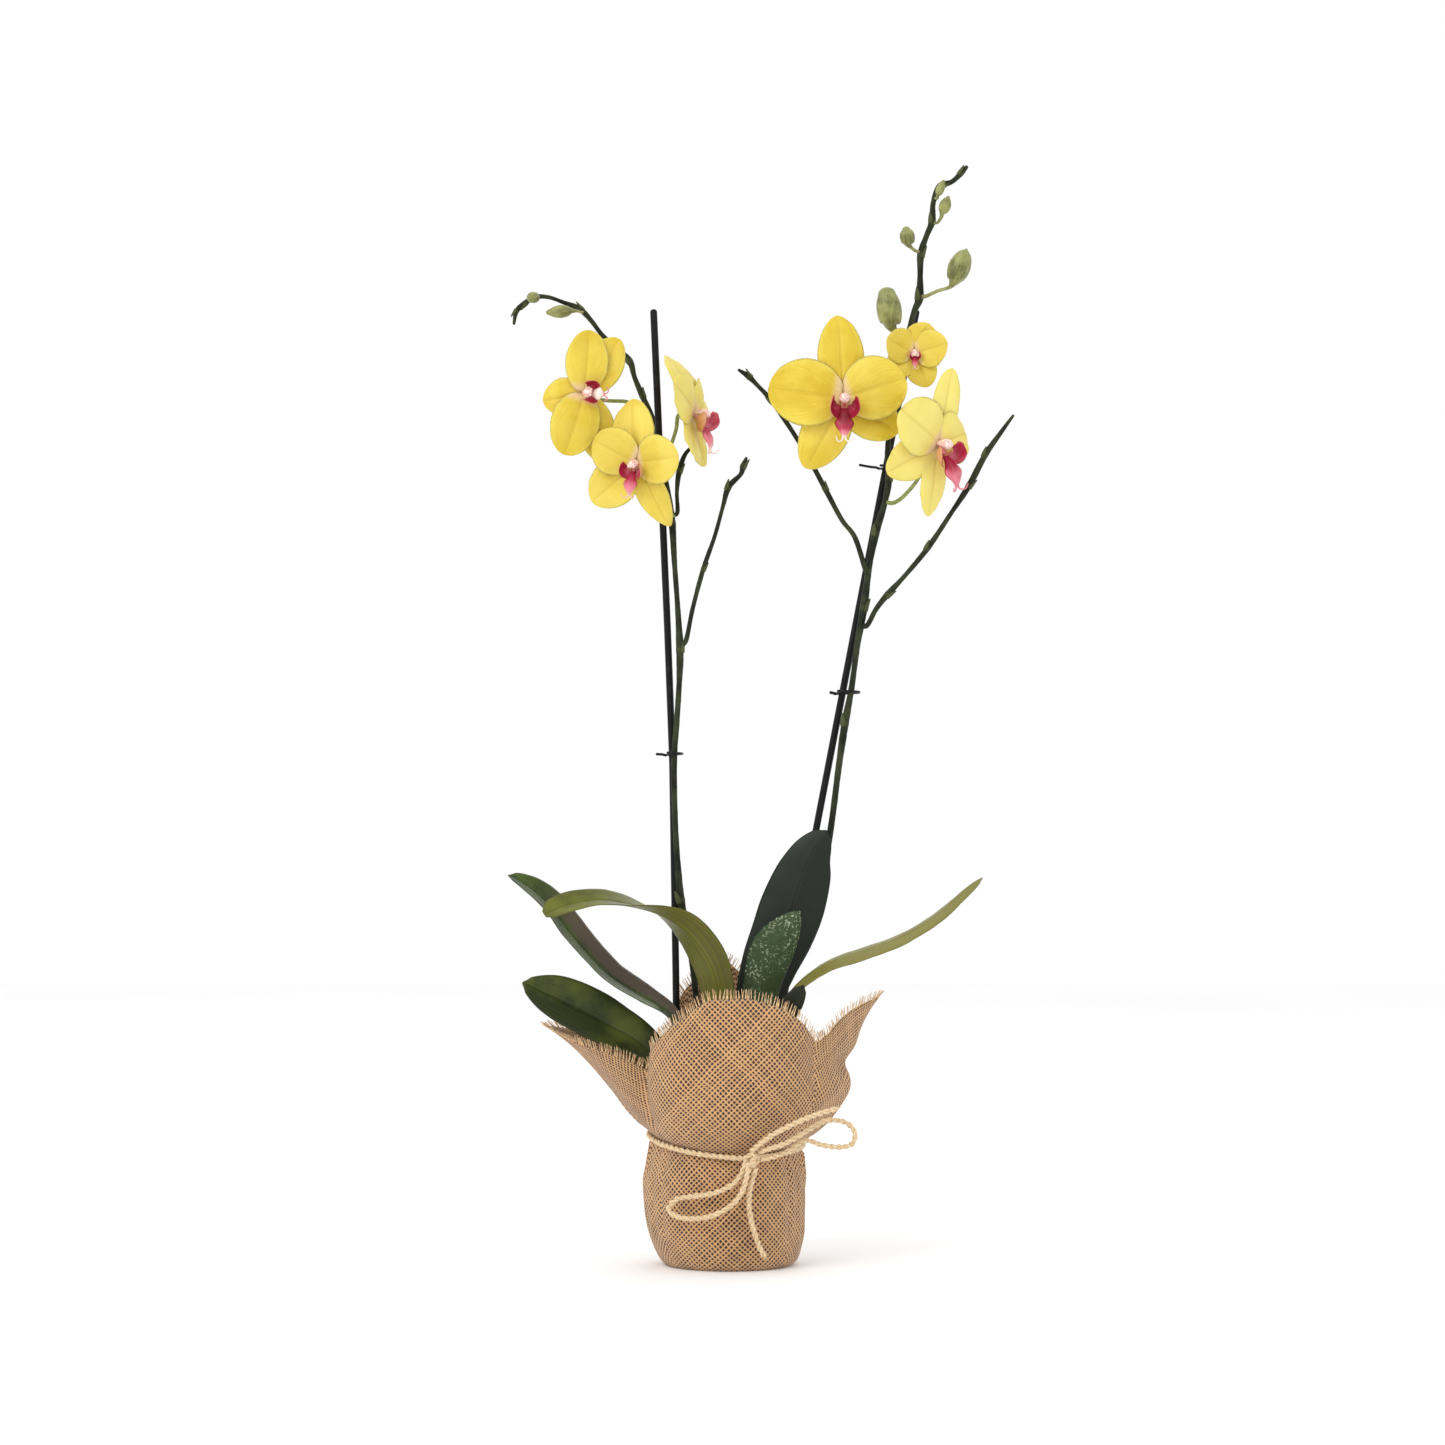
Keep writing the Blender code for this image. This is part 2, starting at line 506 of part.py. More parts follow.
# ---------------------------------------------------------------- leaves
def blade(name, mid, across, fold, mat, rows=10, lanes=4):
    """A leaf: mid-line points (x, y, z, half width) in mm, cross directions keyed by the fraction
    of the leaf's length, and how far each half folds up towards the upper face."""
    pts = spline(mid, max(1, rows // (len(mid) - 1)))
    verts, faces = [], []
    n = len(pts)
    for i, p in enumerate(pts):
        here = Vector(p[:3])
        ahead = Vector(pts[min(i + 1, n - 1)][:3])
        behind = Vector(pts[max(i - 1, 0)][:3])
        along = (ahead - behind).normalized()
        f = i / (n - 1)
        for (f0, v0), (f1, v1) in zip(across, across[1:]):
            if f <= f1:
                break
        c = Vector(v0).lerp(Vector(v1), min(1.0, (f - f0) / (f1 - f0)))
        c = (c - along * c.dot(along)).normalized()
        up = along.cross(c)
        half = p[3]
        for k in range(lanes + 1):
            v = -1.0 + 2.0 * k / lanes
            verts.append(grown(here + c * (half * v) + up * (fold * half * (abs(v) ** 1.3))))
    step = lanes + 1
    for i in range(n - 1):
        for k in range(lanes):
            a = i * step + k
            faces.append((a, a + 1, a + step + 1, a + step))
    obj = mesh_object(name, verts, faces, mat)
    solidify(obj, LEAF_THICK)


blade("leaf_upper_left", [
    (-9, -3.5, 101, 4.5), (-20, -6.5, 134, 7), (-35, -9, 155, 9.5), (-52, -10, 166, 12),
    (-71, -11, 178, 13.5), (-85, -12, 192, 14), (-98, -12, 207.5, 14), (-108, -13, 221.5, 12.5),
    (-117, -14, 230.5, 10.5), (-127, -15, 237.5, 7), (-134.5, -16, 241.5, 2.5)],
    [(0, (-0.10, -0.95, -0.30)), (1, (-0.38, -0.82, -0.43))], 0.30, M_LEAF, rows=10)
blade("leaf_arching", [
    (3, -13, 101, 6.0), (1, -18, 136, 8.5), (-5, -22, 169, 10.5), (-9.5, -25, 186, 11.5),
    (-18, -28, 200.5, 13), (-28, -32, 211.5, 14), (-42, -36, 219.5, 14), (-58, -40, 224, 13),
    (-77, -43.5, 227, 12), (-93.5, -46.5, 225, 10.5), (-104, -48.5, 221.5, 7.5),
    (-110.5, -50, 218.5, 2.5)],
    [(0, (0.96, 0.28, 0.0)), (0.4, (0.85, -0.15, 0.45)), (0.56, (0.40, -0.75, 0.45)),
     (0.75, (0.12, -0.97, -0.12)), (1, (0.05, -0.85, -0.50))], 0.22, M_LEAF_LIGHT, rows=11)
blade("leaf_lower_left", [
    (-7, -9.5, 84, 5), (-25, -16, 109, 8), (-51, -14, 136, 13), (-70, -13, 147.5, 16),
    (-85, -13, 156, 16.5), (-102, -14, 164.5, 15), (-115, -16, 170.5, 10.5), (-125.5, -18, 175.5, 3)],
    [(0, (-0.25, -0.75, -0.60)), (1, (-0.44, -0.34, -0.80))], 0.18, M_LEAF, rows=14)
blade("leaf_dark_right", [
    (13.5, 2, 95, 5.5), (16, 3.5, 131, 9), (20.5, 4.5, 163, 14.5), (27, 5.5, 185, 17.5),
    (35, 6, 204, 19.5), (41.5, 6.3, 222, 20), (48, 6.6, 241, 17.5), (52.5, 6.8, 253, 13.5),
    (58, 7, 262, 9), (63, 7, 268.5, 3.5)],
    [(0, (0.25, 0.97, 0.0)), (0.3, (0.91, 0.10, -0.40)), (1, (0.91, -0.10, -0.40))], 0.18, M_LEAF,
    rows=9)
blade("leaf_mid_right", [
    (13, -6, 97, 5), (15, -6.5, 125, 7), (19, -7, 152, 10), (23.5, -8, 177, 12.5),
    (29, -9.5, 195, 14), (36, -12, 208, 11), (43, -14, 218.5, 3)],
    [(0, (0.86, 0.30, -0.38)), (1, (0.84, 0.15, -0.50))], 0.16, M_LEAF, rows=12)
blade("leaf_long_right", [
    (16, -13, 99, 4.5), (26, -16, 137, 5.5), (38, -17, 166, 7), (60, -16, 185, 10),
    (85, -14, 194.5, 12), (107, -12, 202.5, 12), (129, -12, 215.5, 11), (149, -12, 232.5, 8),
    (158.5, -12, 240, 2)],
    [(0, (0.50, -0.80, -0.2)), (0.35, (0.10, -0.99, 0.08)), (1, (0.10, -0.99, 0.12))], 0.12,
    M_LEAF_LIGHT, rows=16)
blade("leaf_small_right", [
    (13, -20, 91, 4), (22, -26, 123, 6), (33, -31, 149, 8), (42, -34, 165, 6.5),
    (47.5, -36, 175, 2.5)],
    [(0, (0.75, 0.45, -0.50)), (1, (0.80, 0.30, -0.65))], 0.25, M_LEAF, rows=8)


# ---------------------------------------------------------------- flowers
NARROWEST = 0.20            # a tepal's least width, as a share of its greatest
TIP_ROUND = 0.06            # how far a tip's corners stand back, as a share of its width


def whorl(name, centre, facing, arms, mat, set_back=0.0, hole=0.0, hub=3.4, lanes=4, rows=6,
          thick=TEPAL_THICK, broad=0.62):
    """One connected ring of tepals.  Each arm is (tip vector, width, bow, cup, roll): the tip in mm
    from the flower's centre, how far its middle bows forward, how far its edges cup forward, and
    a roll about its own mid-line in degrees."""
    n = Vector(facing).normalized()
    c = Vector(centre) - n * set_back
    side = n.cross(Vector((0, 0, 1)))
    side.normalize()
    rise = side.cross(n)
    arms = sorted(arms, key=lambda arm: math.atan2(Vector(arm[0]).dot(rise), Vector(arm[0]).dot(side)))
    turns = [math.atan2(Vector(arm[0]).dot(rise), Vector(arm[0]).dot(side)) for arm in arms]
    count = len(arms)
    bounds = []                                   # direction of the notch before each arm
    for k in range(count):
        prev = turns[k - 1] - (2 * math.pi if k == 0 else 0.0)
        bounds.append((prev + turns[k]) / 2)
    bounds.append(bounds[0] + 2 * math.pi)
    ring, verts, faces = [], [], []
    for k in range(count):
        for j in range(lanes):
            ring.append(bounds[k] + (bounds[k + 1] - bounds[k]) * j / lanes)
    total = len(ring)
    for a in ring:
        verts.append(c + (side * math.cos(a) + rise * math.sin(a)) * hub)
    if hole > 0.0:
        for a in ring:
            verts.append(c + (side * math.cos(a) + rise * math.sin(a)) * hole)
        for i in range(total):
            j = (i + 1) % total
            faces.append((total + i, i, j, total + j))
    else:
        verts.append(c)
        for i in range(total):
            faces.append((total, i, (i + 1) % total))
    for k, (tip, width, bow, cup, roll) in enumerate(arms):
        t = Vector(tip) - n * Vector(tip).dot(n)
        lift = Vector(tip).dot(n)
        along = t.normalized()
        across = along.cross(n)
        q = math.radians(roll)
        cross = across * math.cos(q) + n * math.sin(q)
        last = [(k * lanes + j) % total for j in range(lanes + 1)]
        start = hub / t.length
        for i in range(1, rows + 1):
            f = i / rows
            u = start + (1 - start) * (1 - (1 - f) ** 1.25)
            swell = math.sin(math.pi * min(u, 1.0) ** 0.88) ** broad if u < 0.999 else 0.0
            half = 0.5 * width * max(swell, NARROWEST)
            mid = c + t * u + n * (lift * u * u + bow * 4 * u * (1 - u))
            fresh = []
            blend = min(1.0, 1.25 * f)
            for j in range(lanes + 1):
                v = -1.0 + 2.0 * j / lanes
                lean = across.lerp(cross, blend).normalized()
                p = mid + lean * (half * v) + n * (cup * v * v * blend * min(1.0, 2 * half / width))
                if i == rows:
                    p = p - along * (TIP_ROUND * width * v * v)
                verts.append(p)
                fresh.append(len(verts) - 1)
            for j in range(lanes):
                faces.append((last[j], fresh[j], fresh[j + 1], last[j + 1]))
            last = fresh
    obj = mesh_object(name, [grown(v) for v in verts], faces, mat)
    solidify(obj, thick)


FLOWERS = {
    # name: centre, facing, lip direction, size of the lip, stalk, sepals, petals
    "left_flower_1": dict(
        centre=(-87, -28, 538), facing=(0.22, -0.97, 0.05), down=(0.92, 0.20, -0.15), lip=1.0,
        drop=4.0, stalk=[(-56, 11.8, 532.5, 1.3), (-62, 4, 535, 1.2), (-73, -5, 535, 1.2),
                         (-84, -14, 536, 1.3)],
        sepals=[((-25, -1, -5), 24, 1.0, -1.0, 0), ((22, 6, 34), 26, 1.5, -1.5, 0),
                ((13, 8, -42), 25, 1.0, -1.0, 0)],
        petals=[((3, -2, 38.5), 27, 2.0, 0.5, 0), ((-12, -3, -38), 31, 2.0, 0.5, 0)]),
    "left_flower_2": dict(
        centre=(-55, -38, 495), facing=(-0.32, -0.94, -0.10), down=(-0.12, 0.02, -1.0), lip=1.0,
        drop=6.6, stalk=[(-34.4, 0.6, 465, 1.2), (-37, -6, 473, 1.2), (-43, -15, 483, 1.2),
                         (-49, -23, 492, 1.3)],
        sepals=[((-3, 7, 39), 28, 1.5, -1.0, 0), ((-28, 10, -24), 30, 1.0, -1.0, 0),
                ((20, 5, -39), 19, 1.0, -1.0, 62)],
        petals=[((-26, 3, 14), 30, 3.0, 1.0, 0), ((26, -9, 3), 31, 2.0, 1.0, 0)]),
    "left_flower_3": dict(
        centre=(-20, -10, 527), facing=(0.86, -0.50, 0.04), down=(0.10, 0.0, -1.0), lip=1.2,
        drop=6.6, stalk=[(-37.6, 12.4, 502.5, 1.2), (-34, 9, 509, 1.2), (-31, 4, 518, 1.2),
                         (-30, -1, 525, 1.3)],
        sepals=[((-16, 4, 36), 26, 2.0, -1.0, 0), ((5, -22, -32), 21, 1.5, -1.0, 0),
                ((9, 12, -32), 21, 0.0, -1.0, 0)],
        petals=[((-12, -30, 16), 31, 3.0, 1.0, 0), ((2, 31, 14), 31, 3.0, 1.0, 0)]),
    "right_flower_1": dict(
        centre=(72, -30, 535), facing=(0.06, -1.0, 0.03), down=(-0.02, 0.0, -1.0), lip=1.3,
        drop=6.6, stalk=[(98.2, -0.2, 514, 1.3), (90, -7, 519, 1.3), (80, -14, 527, 1.4)],
        sepals=[((-3, 5, 51), 29, 1.0, -1.5, 0), ((-22.5, 4, -43), 30, 1.0, -1.5, 0),
                ((34, 5, -21), 30, 1.0, -1.5, 0)],
        petals=[((-46, -3, 6), 42, 3.0, 0.5, 0), ((38, -2, 12), 40, 3.0, 0.5, 0)]),
    "right_flower_2": dict(
        centre=(116, -14, 564), facing=(0.10, -0.99, 0.08), down=(0.0, -0.2, -1.0), lip=0.5,
        drop=6.6, stalk=[(104.2, -0.6, 538, 1.1), (107, -3, 548, 1.1), (112, -6, 557, 1.2)],
        sepals=[((9, -4, 18), 15, 1.5, 1.0, 0), ((-15, -5, -12), 14, 1.5, 1.0, 0),
                ((9, -4, -21), 14, 1.5, 1.0, 0)],
        petals=[((-17, -12, 8), 16, 1.0, 1.0, 0), ((20, -12, 5), 17, 1.0, 1.0, 0)]),
    "right_flower_3": dict(
        centre=(130, -36, 507), facing=(0.52, -0.85, -0.05), down=(0.25, 0.1, -1.0), lip=1.35,
        drop=7.4, stalk=[(103.5, 2.2, 472, 1.3), (110, -2, 476, 1.2), (119, -9, 487, 1.2),
                         (123, -20, 500, 1.3)],
        sepals=[((9.5, 5, 46), 19, 1.0, -1.0, 20), ((-31, -12, -19), 27, 1.0, -1.0, 0),
                ((-5, 4, -45), 20, 1.0, -1.0, 15)],
        petals=[((-24, -20, 19), 37, 3.0, 0.5, 0), ((17, 12, 7), 33, 3.0, 0.5, 0)]),
}
for name, f in FLOWERS.items():
    c = Vector(f["centre"])
    n = Vector(f["facing"]).normalized()
    d = Vector(f["down"])
    d = (d - n * d.dot(n)).normalized()
    s = n.cross(d)
    k = f["lip"]
    hole = COLUMN_R + GAP + 0.3
    whorl(name + "_sepals", c, n, f["sepals"], M_PETAL, set_back=TEPAL_THICK + 1.5, hole=hole,
          rows=5, broad=0.9)
    whorl(name + "_petals", c, n, f["petals"], M_PETAL, hole=hole)
    back = c - n * 9.0
    tube = list(f["stalk"]) + [(back.x, back.y, back.z, 1.35)]
    for out, drop, r in ((-4.0, 0.0, COLUMN_R), (1.0, 0.0, COLUMN_R), (3.0, 0.1, 2.0),
                         (6.0 * k, 0.6, 2.4), (8.0 * k, 1.4, 1.9), (8.8 * k, 1.8, 0.9)):
        p = c + n * out + d * drop
        tube.append((p.x, p.y, p.z, r))
    stem(name + "_column", tube, M_COLUMN, per=1, sides=8)
    lip_c = c + n * (3.2 * k) + d * (f["drop"] * k)
    whorl(name + "_lip", lip_c, n * 0.72 - d * 0.70, [
        (s * (8.0 * k) - d * (1.5 * k) + n * (5.0 * k), 8.5 * k, 0.6, 1.2, 0),
        (s * (-8.0 * k) - d * (1.5 * k) + n * (5.0 * k), 8.5 * k, 0.6, 1.2, 0),
        (n * (6.0 * k) + d * (14.0 * k), 8.0 * k, 1.5, -1.2, 0)],
        M_LIP, hub=2.4 * k, rows=3, lanes=4, thick=0.9 * min(k, 1.0))
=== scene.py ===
"""Looks of the potted moth orchid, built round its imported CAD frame.

Every soft or grown CAD solid is replaced by a finer piece on the same route: leaves, flower stems,
buds, tepals, lips, the burlap wrap with its frayed edge and the two-ply jute twine.  Lengths in the
tables are millimetres; Mesh.make() turns them into metres.
"""

import math

import bmesh
import bpy
import numpy as np
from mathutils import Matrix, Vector


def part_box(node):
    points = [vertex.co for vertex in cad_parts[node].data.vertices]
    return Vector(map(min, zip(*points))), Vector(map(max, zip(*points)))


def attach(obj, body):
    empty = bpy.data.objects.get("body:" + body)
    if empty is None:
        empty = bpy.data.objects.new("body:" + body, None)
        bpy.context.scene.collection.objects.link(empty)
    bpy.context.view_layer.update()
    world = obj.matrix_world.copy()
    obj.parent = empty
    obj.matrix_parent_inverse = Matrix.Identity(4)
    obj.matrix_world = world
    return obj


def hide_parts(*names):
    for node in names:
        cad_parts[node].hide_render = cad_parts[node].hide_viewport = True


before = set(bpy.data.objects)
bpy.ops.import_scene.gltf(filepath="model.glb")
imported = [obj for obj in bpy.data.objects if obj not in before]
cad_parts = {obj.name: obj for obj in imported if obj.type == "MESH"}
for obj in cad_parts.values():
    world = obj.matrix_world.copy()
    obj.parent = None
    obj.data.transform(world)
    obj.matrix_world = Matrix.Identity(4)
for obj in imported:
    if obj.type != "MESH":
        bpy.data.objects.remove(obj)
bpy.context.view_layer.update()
MM = 0.001
rng = np.random.default_rng(7)


# ---------------------------------------------------------------- small geometry tools (mm)
def unit(v):
    return v / np.maximum(np.linalg.norm(v, axis=-1, keepdims=True), 1e-12)


def vec(*p):
    return np.array(p, float)


def spline(points, per):
    """Catmull-Rom through rows of points, `per` steps to each span."""
    p = np.asarray(points, float)
    p = np.vstack([p[:1], p, p[-1:]])
    t = (np.arange(per) / per)[:, None]
    out = []
    for a, b, c, d in zip(p, p[1:], p[2:], p[3:]):
        out.append(0.5 * (2 * b + (c - a) * t + (2 * a - 5 * b + 4 * c - d) * t ** 2
                          + (3 * b - a - 3 * c + d) * t ** 3))
    return np.vstack(out + [p[-1:]])


def smooth_step(x, low, high):
    f = np.clip((np.asarray(x, float) - low) / (high - low), 0.0, 1.0)
    return f * f * (3 - 2 * f)


def arc_length(path):
    return np.concatenate([[0.0], np.cumsum(np.linalg.norm(np.diff(path, axis=0), axis=1))])


def resample(path, step):
    """The same line with its points `step` apart."""
    s = arc_length(path[:, :3])
    n = max(3, int(round(s[-1] / step)) + 1)
    at = np.linspace(0, s[-1], n)
    return np.stack([np.interp(at, s, path[:, k]) for k in range(path.shape[1])], axis=1)


def side_frames(path):
    """Two directions square to the path at each point, carried along it without twist."""
    t = unit(np.gradient(path, axis=0))
    start = vec(0, 0, 1) if abs(t[0][2]) < 0.9 else vec(1, 0, 0)
    side = start - t[0] * start.dot(t[0])
    sides = []
    for d in t:
        side = side - d * side.dot(d)
        side = side / np.linalg.norm(side)
        sides.append(side)
    sides = np.array(sides)
    return sides, np.cross(t, sides)


END_RINGS = 4               # rings that round off each end of a tube


def rounded_ends(path, radius):
    """The path and its radii with a few rings added, so that both ends are round."""
    t = unit(np.gradient(path, axis=0))
    a = np.linspace(0.5 * math.pi, 0.12, END_RINGS)[:, None]
    low = path[0] - t[0] * radius[0] * np.sin(a) * 0.8
    high = path[-1] + t[-1] * radius[-1] * np.sin(a[::-1]) * 0.8
    low_r = radius[0] * np.maximum(np.cos(a[:, 0]), 0.08)
    high_r = radius[-1] * np.maximum(np.cos(a[::-1, 0]), 0.08)
    return np.vstack([low, path, high]), np.concatenate([low_r, radius, high_r])


def rings_round(path, radius, sides):
    """Rings of points round a path; radius is one number a ring, or one a point."""
    u, w = side_frames(path)
    a = 2 * math.pi * np.arange(sides) / sides
    radius = np.asarray(radius, float)
    r = radius[:, None] if radius.ndim == 1 else radius
    x = (np.cos(a)[None, :] * r)[..., None]
    y = (np.sin(a)[None, :] * r)[..., None]
    return path[:, None, :] + u[:, None, :] * x + w[:, None, :] * y


def wobble(x, seed, scale=1.0):
    """A smooth irregular wave between -1 and 1."""
    k = np.random.default_rng(seed).uniform(0, 2 * math.pi, 4)
    x = np.asarray(x, float) * scale
    return (np.sin(x + k[0]) + 0.6 * np.sin(2.3 * x + k[1]) + 0.4 * np.sin(4.1 * x + k[2])
            + 0.25 * np.sin(7.7 * x + k[3])) / 2.25


class Mesh:
    """Gathers closed grids of points into one mesh with a UV map and two values per vertex."""

    def __init__(self):
        self.points, self.quads, self.quad_uv, self.caps, self.cap_uv = [], [], [], [], []
        self.tone, self.under = [], []
        self.count = 0

    def add(self, rings, uv, tone=0.0, under=0.0, closed=True):
        """rings is (n, m, 3); uv is (n, m + 1, 2) for closed rings and (n, m, 2) for open ones."""
        n, m = rings.shape[:2]
        self.points.append(rings.reshape(-1, 3))
        self.tone.append(np.broadcast_to(tone, (n, m)).ravel())
        self.under.append(np.broadcast_to(under, (n, m)).ravel())
        i, j = np.meshgrid(np.arange(n - 1), np.arange(m if closed else m - 1), indexing="ij")
        k = (j + 1) % m
        at = self.count
        quads = np.stack([at + i * m + j, at + i * m + k, at + (i + 1) * m + k, at + (i + 1) * m + j], -1)
        self.quads.append(quads.reshape(-1, 4))
        corner = [uv[i, j], uv[i, j + 1], uv[i + 1, j + 1], uv[i + 1, j]]
        self.quad_uv.append(np.stack(corner, 2).reshape(-1, 4, 2))
        if closed:
            for row, back in ((0, True), (n - 1, False)):
                ring = list(range(at + row * m, at + (row + 1) * m))
                where = [tuple(p) for p in uv[row, :m]]
                self.caps.append(ring[::-1] if back else ring)
                self.cap_uv.append(where[::-1] if back else where)
        self.count += n * m

    def tube(self, path, radius, sides=12, tone=0.0):
        """A round-ended tube; UV is (round, length in mm)."""
        path = np.asarray(path, float)
        radius = np.broadcast_to(np.asarray(radius, float), (len(path),)).copy()
        path, radius = rounded_ends(path, radius)
        rings = rings_round(path, radius, sides)
        s = arc_length(path)
        u = np.arange(sides + 1) / sides
        uv = np.stack(np.broadcast_arrays(u[None, :], s[:, None]), -1)
        tone = np.asarray(tone, float)
        if tone.ndim == 1:
            tone = np.pad(tone, END_RINGS, mode="edge")[:, None]
        self.add(rings, uv, tone=tone)

    def make(self, name, material, slot, replaces=(), outward=True):
        """The object, in metres, riding on the root body in place of its CAD nodes."""
        points = np.vstack(self.points) * MM
        faces = np.vstack(self.quads).tolist() + self.caps
        mesh = bpy.data.meshes.new(name)
        mesh.from_pydata(points.tolist(), [], faces)
        layer = mesh.uv_layers.new(name="UVMap")
        flat = [np.vstack(self.quad_uv).reshape(-1, 2)]
        flat += [np.array(c) for c in self.cap_uv]
        layer.data.foreach_set("uv", np.vstack(flat).astype(np.float32).ravel())
        for key, values in (("tone", self.tone), ("under", self.under)):
            made = mesh.attributes.new(key, "FLOAT", "POINT")
            made.data.foreach_set("value", np.concatenate(values).astype(np.float32))
        mesh.materials.append(material)
        mesh.shade_smooth()
        if outward:
            bm = bmesh.new()
            bm.from_mesh(mesh)
            bmesh.ops.recalc_face_normals(bm, faces=bm.faces)
            bm.to_mesh(mesh)
            bm.free()
        obj = bpy.data.objects.new(name, mesh)
        bpy.context.scene.collection.objects.link(obj)
        if replaces:
            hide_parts(*replaces)
        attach(obj, "root")
        return obj


# ---------------------------------------------------------------- materials
def srgb(r, g, b):
    """A colour given in 0-255 display values, as the shader wants it."""
    return tuple(((c / 255 + 0.055) / 1.055) ** 2.4 if c > 10 else c / 255 / 12.92 for c in (r, g, b))


class Value:
    """A shader value. A plain sign between two, or one and a number, makes a math node."""

    def __init__(self, look, socket):
        self.look, self.socket = look, socket

    def __add__(self, other):
        return self.look.math("ADD", self, other)

    def __sub__(self, other):
        return self.look.math("SUBTRACT", self, other)

    def __rsub__(self, other):
        return self.look.math("SUBTRACT", other, self)

    def __mul__(self, other):
        return self.look.math("MULTIPLY", self, other)

    def __truediv__(self, other):
        return self.look.math("DIVIDE", self, other)

    def __abs__(self):
        return self.look.math("ABSOLUTE", self)

    def spread(self, low, high):
        """A value from 0 to 1 spread over low to high."""
        return self.look.math("MULTIPLY_ADD", self, high - low, low)

    def between(self, low, high):
        """0 below low, 1 above high, and a smooth step between them."""
        n = self.look.node("ShaderNodeMapRange", interpolation_type="SMOOTHSTEP")
        self.look.link(self, n.inputs["Value"])
        self.look.link(low, n.inputs["From Min"])
        self.look.link(high, n.inputs["From Max"])
        return Value(self.look, n.outputs["Result"])


class Look:
    """One procedural material, with short names for the nodes that it uses."""

    def __init__(self, name, rough=0.5, **sockets):
        self.material = bpy.data.materials.new(name)
        self.material.use_nodes = True
        self.tree = self.material.node_tree
        self.shader = self.tree.nodes["Principled BSDF"]
        self.shader.inputs["Roughness"].default_value = rough
        for key, value in sockets.items():
            self.shader.inputs[key.replace("_", " ").title().replace("Ior", "IOR")].default_value = value

    def node(self, kind, **settings):
        n = self.tree.nodes.new(kind)
        for key, value in settings.items():
            setattr(n, key, value)
        return n

    def link(self, value, socket):
        if isinstance(value, Value):
            self.tree.links.new(value.socket, socket)
        elif isinstance(value, tuple) and len(value) == 3 and len(socket.default_value) == 4:
            socket.default_value = (*value, 1.0)
        else:
            socket.default_value = value

    def math(self, operation, *values):
        n = self.node("ShaderNodeMath", operation=operation)
        for value, socket in zip(values, n.inputs):
            self.link(value, socket)
        return Value(self, n.outputs[0])

    def mix(self, factor, a, b):
        n = self.node("ShaderNodeMix", data_type="RGBA")
        self.link(factor, n.inputs["Factor"])
        self.link(a, n.inputs[6])
        self.link(b, n.inputs[7])
        return Value(self, n.outputs[2])

    def attribute(self, name):
        return Value(self, self.node("ShaderNodeAttribute", attribute_name=name).outputs["Fac"])

    def uv(self):
        """The two parts of the UV map."""
        where = self.node("ShaderNodeUVMap", uv_map="UVMap").outputs["UV"]
        parts = self.node("ShaderNodeSeparateXYZ")
        self.tree.links.new(where, parts.inputs[0])
        return Value(self, parts.outputs[0]), Value(self, parts.outputs[1])

    def vector(self, x, y, z=0.0):
        n = self.node("ShaderNodeCombineXYZ")
        for value, socket in zip((x, y, z), n.inputs):
            self.link(value, socket)
        return Value(self, n.outputs[0])

    def place(self):
        return Value(self, self.node("ShaderNodeTexCoord").outputs["Object"])

    def noise(self, vector, scale, detail=3.0, rough=0.55):
        n = self.node("ShaderNodeTexNoise")
        self.link(vector, n.inputs["Vector"])
        n.inputs["Scale"].default_value = scale
        n.inputs["Detail"].default_value = detail
        n.inputs["Roughness"].default_value = rough
        return Value(self, n.outputs["Fac"])

    def streaks(self, x, y, detail, rough=0.55, scale=1.0):
        """Noise drawn out along the way that changes slowly."""
        return self.noise(self.vector(x, y), scale, detail, rough)

    def clouds(self, scale, detail=3.0, rough=0.55):
        """Noise in the object's own space."""
        return self.noise(self.place(), scale, detail, rough)

    def random(self, x, y):
        n = self.node("ShaderNodeTexWhiteNoise", noise_dimensions="2D")
        self.link(self.vector(x, y), n.inputs["Vector"])
        return Value(self, n.outputs["Value"])

    def color(self, value):
        self.link(value, self.shader.inputs["Base Color"])

    def rough(self, value):
        self.link(value, self.shader.inputs["Roughness"])

    def bump(self, height, distance, strength):
        n = self.node("ShaderNodeBump")
        n.inputs["Strength"].default_value = strength
        n.inputs["Distance"].default_value = distance
        self.link(height, n.inputs["Height"])
        self.tree.links.new(n.outputs["Normal"], self.shader.inputs["Normal"])


WEAVE_PITCH = 2.35          # from one thread of the burlap to the next
OPEN_WEAVE = 0.47           # how far in from a thread's edge the holes reach
WEAVE_RISE = 0.35           # how much one thread rises over the other


def ridge(look, x, thick):
    """1 in the middle of a thread and 0 at its edge."""
    return thick - abs(look.math("FRACT", x) - 0.5) * 2.0


def rise(look, x, over):
    """A thread's rise over, or dip under, the one it crosses."""
    return look.math("SINE", look.math("FRACT", x) * math.pi) * over * WEAVE_RISE


